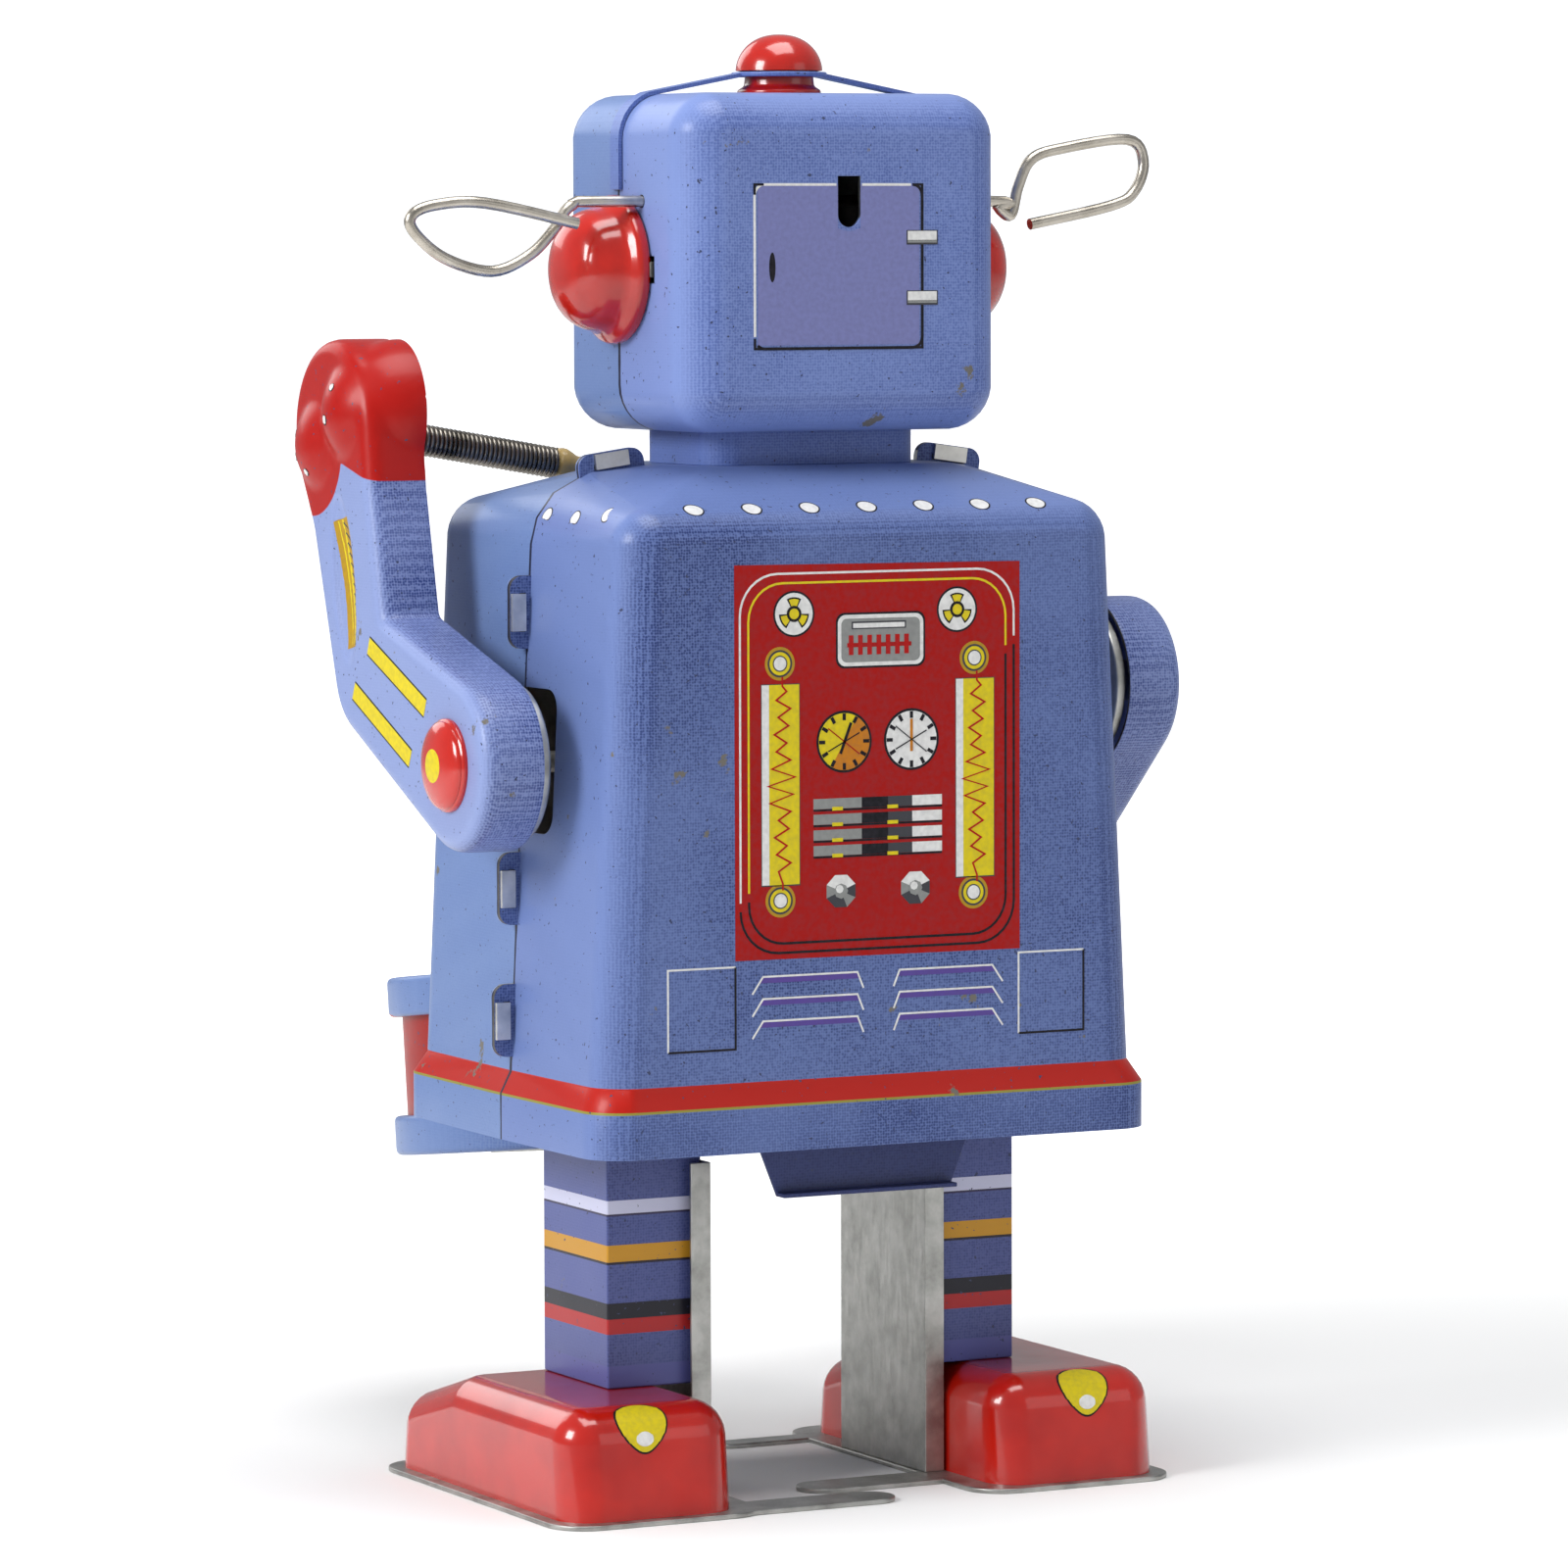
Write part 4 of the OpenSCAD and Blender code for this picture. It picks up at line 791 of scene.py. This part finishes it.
def flowing(points):
    """A smooth line through all points, close to the path the CAD wire follows."""
    out, steps = [], 6
    for i in range(len(points) - 1):
        a, b = points[max(i - 1, 0)], points[i]
        c, d = points[i + 1], points[min(i + 2, len(points) - 1)]
        for k in range(steps):
            s = k / steps
            bend = (2 * a - 5 * b + 4 * c - d) + s * (3 * (b - c) + d - a)
            out.append(b + 0.5 * s * ((c - a) + s * bend))
    return out + [points[-1]]


route = [WIRE_AT + Vector(p) for p in LOOP_RIGHT[::-1] + [(-24.4, 0, 0), (24.4, 0, 0)] + LOOP_LEFT]
path = flowing(route)
curve = bpy.data.curves.new("antenna_piece", "CURVE")
curve.dimensions = "3D"
line = curve.splines.new("POLY")
line.points.add(len(path) - 1)
for point, place in zip(line.points, path):
    point.co = (*(place * MM), 1)
curve.bevel_depth = ANTENNA_R * MM
curve.bevel_resolution = 4
curve.use_fill_caps = True
take(new_object("antenna_piece", curve))
bpy.ops.object.convert(target="MESH")
antenna = tidy(bpy.context.object, 40)
seat(coat(antenna, wire_metal), "antenna", ["antenna_wire"])
print("antenna points", len(path))

# %% [markdown]
# The legs are printed covers on bare steel channels. The shoes are red stampings on steel
# soles, with a yellow drop printed on each heel.

# %% Legs and shoes
LEG_PARTS = [("leg_cover_", tin_leg, "blue_tin", 0.35), ("leg_channel_", steel, "bare_steel", 0.12),
             ("shoe_", red_enamel, "red_tin", 0.12), ("sole_", steel, "bare_steel", 0.15)]
HEEL_LEAN = math.radians(-48)
for side in ("left", "right"):
    body = side + "_leg"
    for node, finish, slot, edge in LEG_PARTS:
        seat(coat(rounded_copy(node + side, edge), finish), body, [node + side])
    sign = 1 if side == "left" else -1
    shoe = bpy.data.objects["shoe_" + side + "_piece"]
    drops = []
    for radius, ink_name, lift in ((4.1, "black", 0.03), (3.8, "yellow", 0.1)):
        drop = disc("drop", radius, (0, 0, 0), (0, 0, 1), ink_name, 5)
        for vertex in drop.data.vertices:
            y = vertex.co.y / MM / radius
            vertex.co.x *= 0.78 * (1 - 0.34 * y)
        drop.data.transform(shift(sign * 29.5, 22.3, 11.4) @ Matrix.Rotation(HEEL_LEAN, 4, "X"))
        drops.append(lay_on(drop, shoe, lift))
    dot = disc("dot", 1.1, (sign * 29.5, 23.3, 10.0), (0, 0.75, 0.66), "white")
    drops.append(lay_on(dot, shoe, 0.15))
    seat(join(*drops), body).name = "heel_print_" + side
print("heel print layers", len(drops))

# %% [markdown]
# All that is printed on the back lies in one plane, so each mark is a flat shape in that
# plane, pushed out as a film of ink. A stroke is a strip of faces along a line, a plate is
# one face, and marks that overlap lie on different layers.

# %% Drawing with ink
def polar(x, z, radius, degrees):
    return x + radius * math.cos(math.radians(degrees)), z + radius * math.sin(math.radians(degrees))


class Sheet:
    """Collects flat marks in (x, z) mm, and makes one piece of them on a plane of y."""

    def __init__(self, name, plane_y, outward):
        self.name, self.y, self.out = name, plane_y, outward
        self.points, self.faces, self.kinds, self.inks = [], [], [], []

    def add(self, points, faces, ink_name, layer):
        if ink_name not in self.inks:
            self.inks.append(ink_name)
        first = len(self.points)
        y = self.y + self.out * (0.02 + 0.015 * layer)
        self.points += [(x * MM, y * MM, z * MM) for x, z in points]
        self.faces += [[first + i for i in face] for face in faces]
        self.kinds += [self.inks.index(ink_name)] * len(faces)

    def plate(self, points, ink_name, layer=0):
        self.add(points, [list(range(len(points)))], ink_name, layer)

    def box(self, x0, z0, x1, z1, ink_name, layer=0):
        self.plate([(x0, z0), (x1, z0), (x1, z1), (x0, z1)], ink_name, layer)

    def round(self, x, z, radius, ink_name, layer=0, start=0.0, end=360.0, sides=36):
        sweep = end - start
        whole = sweep >= 360
        count = sides if whole else max(4, int(sides * sweep / 360))
        points = [polar(x, z, radius, start + sweep * i / count) for i in range(count + (not whole))]
        self.plate(points if whole else points + [(x, z)], ink_name, layer)

    def rings(self, x, z, layer, *rings):
        """Discs on top of each other, given as (radius, ink)."""
        for i, (radius, ink_name) in enumerate(rings):
            self.round(x, z, radius, ink_name, layer + i)

    def stroke(self, points, width, ink_name, layer=1):
        sides = []
        for i, p in enumerate(points):
            before, after = Vector(points[max(i - 1, 0)]), Vector(points[min(i + 1, len(points) - 1)])
            here = Vector(p)
            first, second = (here - before).normalized(), (after - here).normalized()
            first, second = first if first.length else second, second if second.length else first
            middle = first + second
            middle = middle.normalized() if middle.length > 0.3 else first
            across = Vector((-middle.y, middle.x)) * (width / 2 / max(0.45, middle.dot(first)))
            sides += [tuple(here + across), tuple(here - across)]
        quads = [[2 * i, 2 * i + 1, 2 * i + 3, 2 * i + 2] for i in range(len(points) - 1)]
        self.add(sides, quads, ink_name, layer)

    def make(self, body, slot):
        mesh = bpy.data.meshes.new(self.name)
        mesh.from_pydata(self.points, [], self.faces)
        for ink_name in self.inks:
            mesh.materials.append(inks[ink_name])
        mesh.polygons.foreach_set("material_index", self.kinds)
        obj = new_object(self.name, mesh)
        pick(obj, "FACE")
        bpy.ops.mesh.extrude_region_move(TRANSFORM_OT_translate={"value": (0, -self.out * 0.12 * MM, 0)})
        bpy.ops.mesh.select_all(action="SELECT")
        bpy.ops.mesh.normals_make_consistent(inside=False)
        leave()
        return seat(obj, body)


def rounded_path(x0, z0, x1, z1, r, start=0, end=4):
    """Corner arcs start to end of a rounded rectangle, counted from the lower x, lower z corner."""
    steps = 8
    corners = [(x0 + r, z0 + r, 180), (x1 - r, z0 + r, 270), (x1 - r, z1 - r, 0), (x0 + r, z1 - r, 90)]
    path = []
    for x, z, angle in corners[start:end]:
        path += [polar(x, z, r, angle + 90 * i / steps) for i in range(steps + 1)]
    return path


# %% [markdown]
# The control panel on the back is a red plate with two outlines, light on the upper left and
# dark on the lower right, and carries fans, a grille, dials, meters, bars and knobs.

# %% Printed control panel
BACK_Y, CHEST_Y, HATCH_Y, FACE_Y = 25.0, -28.5, 18.0, -17.0     # planes of the shells' flat faces, in mm
METER = [(8.55, 2.2, "grey"), (2.2, -1.3, "black"), (-1.3, -4.5, "dark"), (-4.5, -8.45, "white")]


def control_panel(sheet, flip=1):
    """Draws the panel on a sheet. flip is -1 on the front, where it is seen from the other side."""
    def s(x):
        return x * flip

    sheet.plate([(s(18.8), 65.4), (s(-18.9), 65.2), (s(-18.9), 111.1), (s(18.8), 111.4)][::flip], "red")
    for inset, light in ((0.7, "white"), (1.8, "yellow")):
        x0, x1, z0, z1, r = -18.8 + inset, 18.8 - inset, 65.4 + inset, 111.0 - inset, 5.2 - inset * 0.4
        upper = [(x1, z0 + 6)] + rounded_path(x0, z0, x1, z1, r, 2, 4) + [(x0, z1 - 8)]
        lower = [(x0, z1 - 9)] + rounded_path(x0, z0, x1, z1, r, 0, 2) + [(x1, z0 + 5)]
        sheet.stroke([(s(x), z) for x, z in upper], 0.26, light, 1)
        sheet.stroke([(s(x), z) for x, z in lower], 0.3, "black", 1)
    for x in (s(11.05), s(-10.5)):
        z = 105.6
        sheet.rings(x, z, 1, (2.7, "black"), (2.45, "white"))
        for angle in (90, 210, 330):
            sheet.round(x, z, 1.95, "black", 3, angle - 29, angle + 29)
            sheet.round(x, z, 1.75, "yellow", 4, angle - 22, angle + 22)
        sheet.rings(x, z, 5, (0.95, "black"), (0.62, "yellow"))
    x0, x1 = sorted((s(-6.0), s(5.3)))
    for grow, r, tone, layer in ((0.25, 1.1, "black", 1), (0, 1.0, "white", 2), (-0.45, 0.7, "grey", 3)):
        sheet.plate(rounded_path(x0 - grow, 99.3 - grow, x1 + grow, 105.3 + grow, r), tone, layer)
    sheet.box(-3.7, 103.6, 3.5, 104.5, "dark", 4)
    sheet.box(-3.5, 103.75, 3.3, 104.3, "white", 5)
    sheet.box(-4.4, 101.5, 4.1, 102.0, "red", 4)
    for i in range(7):
        x = -3.75 + 1.22 * i
        sheet.box(x - 0.3, 100.6, x + 0.3, 102.9, "cherry", 5)
    for x, z in ((12.9, 99.85), (-12.8, 99.85), (12.9, 72.2), (-12.65, 72.15)):
        sheet.rings(s(x), z, 1, (1.95, "gold"), (1.6, "dark"), (1.35, "yellow"), (0.95, "dark"),
                    (0.8, "white"))
    for ends in ((10.4, 15.3), (-15.4, -10.35)):
        low, high = sorted(s(x) for x in ends)
        sheet.box(low - 0.1, 73.9, high + 0.1, 97.5, "dark", 1)
        sheet.box(low, 74.05, high, 97.4, "yellow", 2)
        sheet.box(high - 0.95, 74.05, high, 97.4, "white", 3)
        middle = (low + high) / 2 - 0.25
        zigzag = [(middle, 98.3), (middle, 97.2)]
        for i in range(22):
            z = 96.6 - i
            reach = 0.55 + 0.85 * (abs(i - 11) < 3) + 0.25 * (i % 3)
            zigzag.append((middle + (reach if i % 2 else -reach), z))
        zigzag += [(middle, 74.2), (middle, 73.4)]
        sheet.stroke(zigzag, 0.22, "cherry", 4)
    for x, face, needle in ((4.5, "yellow", "black"), (-4.4, "white", "orange")):
        x, z = s(x), 90.5
        sheet.rings(x, z, 1, (3.65, "black"), (3.35, face))
        if face == "yellow":
            sheet.round(x, z, 3.35, "orange", 3, 120, 300)
        for i in range(12):
            sheet.stroke([polar(x, z, 2.5, 30 * i), polar(x, z, 3.3, 30 * i)], 0.42, "black", 4)
        tip_x, tip_z, foot_x = (x - 0.9, z + 2.2, x + 0.5) if face == "yellow" else (x, z + 2.4, x)
        sheet.stroke([(tip_x, tip_z), (foot_x, z - 1.4)], 0.35, needle, 5)
        sheet.stroke([(x - 2.0, z - 1.5), (x + 2.1, z + 1.6)], 0.14, "dark" if face == "white" else "red", 5)
        sheet.stroke([(x - 2.0, z + 1.0), (x + 2.1, z - 1.1)], 0.14, "black", 5)
    for row in range(4):
        high = 83.9 - row * 1.83
        for x0, x1, tone in METER:
            a, b = sorted((s(x0), s(x1)))
            sheet.box(a, high - 1.2, b, high, tone, 1)
        sheet.stroke([(s(8.55), high - 1.35), (s(-8.45), high - 1.35)], 0.25, "black", 2)
        for x in (5.4, -1.9):
            sheet.box(s(x) - 0.7, high - 1.42, s(x) + 0.7, high - 1.0, "yellow", 3)
    for x in (4.95, -4.9):
        x, z = s(x), 73.0
        ring = [polar(x, z, 2.05, 22.5 + 45 * i) for i in range(8)]
        sheet.plate(ring, "grey", 1)
        sheet.plate([(x, z)] + ring[:4], "white", 2)
        sheet.plate([(x, z)] + ring[5:], "dark", 2)
        sheet.plate([(x, z)] + ring[3:5], "dark", 3)
        sheet.round(x, z, 0.9, "grey", 4, sides=8)
        sheet.round(x + flip * 0.2, z + 0.25, 0.5, "white", 5, sides=8)


back = Sheet("back_print", BACK_Y, 1)
control_panel(back)
for x0, x1 in ((18.8, 27.55), (-27.55, -18.75)):
    back.stroke([(x1, 55.1), (x1, 64.7), (x0, 64.7)], 0.22, "white", 1)
    back.stroke([(x0, 64.7), (x0, 55.1), (x1, 55.1)], 0.26, "black", 1)
for sign in (1, -1):
    for row in range(3):
        z = 63.4 - 2.6 * row
        shadow = [(15.2, z), (15.8, z - 0.75), (2.4, z - 0.75), (2.8, z)]
        lip = [(16.6, z - 2.0), (15.2, z), (2.8, z), (2.0, z - 1.9)]
        back.plate([(sign * x, height) for x, height in shadow][::sign], "purple", 0)
        back.stroke([(sign * x, height) for x, height in lip], 0.22, "white", 1)
back.make("torso", "white_tin")
print("marks on the back", len(back.faces))

# %% [markdown]
# The back of the head has a printed hatch with two printed hinges and a keyhole. A hole in
# the tin shows the wire inside.

# %% Hatch and rivets
hatch = Sheet("hatch_print", HATCH_Y, 1)
HX0, HX1, HZ0, HZ1 = -9.7, 12.45, 136.25, 155.4
SLOT_HALF_W = 1.5
below_slot = [(SLOT_HALF_W, 150.3), (0.75, 150.05), (0, 149.95), (-0.75, 150.05), (-SLOT_HALF_W, 150.3)]
hatch.box(HX0 + 0.4, HZ0 + 0.4, -SLOT_HALF_W, HZ1, "lilac")
hatch.box(SLOT_HALF_W, HZ0 + 0.4, HX1 - 0.4, HZ1, "lilac")
hatch.plate([(-SLOT_HALF_W, HZ0 + 0.4), (SLOT_HALF_W, HZ0 + 0.4)] + below_slot, "lilac")
edge_line = rounded_path(HX0, HZ0, HX1, HZ1, 1.3)     # nine points at each corner
hatch.stroke([(HX1, HZ0 + 1.4)] + edge_line[18:27] + [(1.7, HZ1)], 0.3, "white", 1)
hatch.stroke([(-1.7, HZ1), (HX0 + 1.5, HZ1)], 0.3, "white", 1)
hatch.stroke(edge_line[27:] + edge_line[:14], 0.34, "black", 1)
for x, z, dx, dz in ((HX1, HZ1, -1, -1), (HX0, HZ1, 1, -1), (HX0, HZ0, 1, 1), (HX1, HZ0, -1, 1)):
    hatch.stroke([(x + dx * 1.2, z), (x, z), (x, z + dz * 1.2)], 0.28, "black", 2)
angles = [math.pi * i / 12 for i in range(24)]
hatch.plate([(10.15 + 0.42 * math.cos(a), 145.75 + 1.75 * math.sin(a)) for a in angles], "black", 1)
for z in (149.2, 142.1):
    hatch.box(-11.75, z - 0.85, -7.6, z + 0.85, "dark", 2)
    hatch.box(-11.6, z - 0.35, -7.75, z + 0.75, "white", 3)
    hatch.box(-11.6, z - 0.62, -7.75, z - 0.3, "grey", 3)
hatch.make("torso", "white_tin")

rivets = []
spots = [(22.6 - 7.54 * i, 22.5, 118.4) for i in range(7)]
spots += [(30.9, 16.5, 117.2), (32.6, 9.5, 117.2), (32.8, 2.2, 117.4)]
for x, y, z in spots:
    for radius, ink_name, lift in ((1.32, "black", 0.02), (1.12, "white", 0.035)):
        up = (0.3 if x > 30 else 0, 0.5, 0.8)
        rivets.append(lay_on(disc("rivet", radius, (x, y, z), up, ink_name), rear_shell, lift))
seat(join(*rivets), "torso").name = "rivet_print"
print("rivets", len(spots))

# %% [markdown]
# The front is plain and generic: two round eyes, a grille for a mouth and the same kind of
# control panel as on the back.

# %% Printed front
chest = Sheet("chest_print", CHEST_Y, -1)
control_panel(chest, -1)
chest.make("torso", "white_tin")
face = Sheet("face_print", FACE_Y, -1)
for x in (-8.2, 8.2):
    face.rings(x, 150.5, 0, (4.6, "black"), (4.2, "white"), (2.9, "yellow"), (1.5, "black"))
    face.round(x - 0.5, 151.1, 0.45, "white", 4)
face.plate([(-1.4, 143.6), (1.4, 143.6), (0, 147.0)], "red", 1)
face.plate(rounded_path(-9.5, 134.6, 9.5, 140.6, 1.6), "black", 0)
face.plate(rounded_path(-9.1, 135.0, 9.1, 140.2, 1.3), "white", 1)
for i in range(8):
    face.box(-8.3 + 2.2 * i, 135.5, -7.2 + 2.2 * i, 139.7, "red", 2)
face.make("torso", "white_tin")

# %% [markdown]
# The motor stays as the CAD has it: it is inside, and only glimpses of it show through the
# openings. Its nodes get the metals that they are made of.

# %% Motor and small parts
METALS = {"great_wheel": brass, "crankshaft": brass, "escape_wheel": brass, "mainspring": spring_strip}
for node, obj in nodes.items():
    if not obj.hide_render and node != "winding_key":
        obj.data.materials.clear()
        coat(obj, METALS.get(node, steel))
seat(coat(rounded_copy("winding_key", 0.14), steel), "winding", ["winding_key"])

# %% [markdown]
# The toy stands on a plain pale floor. Broad soft lights keep the print readable and leave
# one clear highlight on each curved edge.

# %% Floor, lights and camera
PLAIN_FROM, PLAIN_TO = 0.12, 0.6     # metres from the toy where the paper fades to plain white
bpy.ops.mesh.primitive_plane_add(size=8, location=(0, 0, 0))
floor = name_it("floor")
finish, tree, shader, where = start_finish("matt_white_paper")
away = put(tree, "ShaderNodeVectorMath", {0: where}, operation="LENGTH").outputs["Value"]
seen = put(tree, "ShaderNodeLightPath").outputs["Is Camera Ray"]
veil = put(tree, "ShaderNodeMapRange", {0: away, 1: PLAIN_FROM, 2: PLAIN_TO}, interpolation_type="SMOOTHSTEP")
veil = calc(tree, "MULTIPLY", veil.outputs[0], seen)
feed(tree, shader, {"Base Color": colour("#F6F6F5"), "Roughness": 0.9, "Specular IOR Level": 0.1,
                    "Emission Color": (1, 1, 1, 1), "Emission Strength": veil})
coat(floor, finish)

ROOM_GLOW, SEEN_GLOW = 0.36, 0.9     # light from the room, and what the bare backdrop adds when looked at
world = bpy.data.worlds.new("studio")
bpy.context.scene.world = world
world.use_nodes = True
tree = world.node_tree
seen = put(tree, "ShaderNodeLightPath").outputs["Is Camera Ray"]
glow = calc(tree, "MULTIPLY_ADD", seen, SEEN_GLOW, ROOM_GLOW)
feed(tree, tree.nodes["Background"], {0: colour("#F6F8FC"), 1: glow})


def soft_light(name, at, target, size, power):
    lamp = bpy.data.lights.new(name, "AREA")
    lamp.shape, lamp.size, lamp.energy = "SQUARE", size, power
    obj = new_object(name, lamp)
    obj.location = at
    obj.rotation_mode = "QUATERNION"
    obj.rotation_quaternion = (Vector(target) - Vector(at)).to_track_quat("-Z", "Y")


soft_light("key_light", (0.85, 0.12, 0.5), (0, 0, 0.09), 0.35, 5.8)
soft_light("fill_light", (-0.5, 0.8, 0.35), (0, 0, 0.09), 0.5, 0.5)
soft_light("top_light", (0.0, 0.1, 0.8), (0, 0, 0.1), 0.5, 4.2)
soft_light("front_light", (0.2, -0.8, 0.5), (0, 0, 0.09), 0.5, 1.5)

camera = new_object("camera", bpy.data.cameras.new("camera"))
bpy.context.scene.camera = camera
AZIMUTH, ELEVATION, ROLL = math.radians(27.107), math.radians(4.2196), math.radians(-0.16)
CAMERA_AT = (0.41171, 0.80511, 0.15048)
flat = math.cos(ELEVATION)
towards = Vector((math.sin(AZIMUTH) * flat, math.cos(AZIMUTH) * flat, math.sin(ELEVATION)))
camera.location = CAMERA_AT
camera.rotation_mode = "QUATERNION"
camera.rotation_quaternion = (-towards).to_track_quat("-Z", "Y") @ Quaternion((0, 0, 1), ROLL)
camera.data.sensor_width, camera.data.lens = 36, 173.4
camera.data.clip_start, camera.data.clip_end = 0.01, 20
bpy.context.scene.view_settings.view_transform = "Standard"
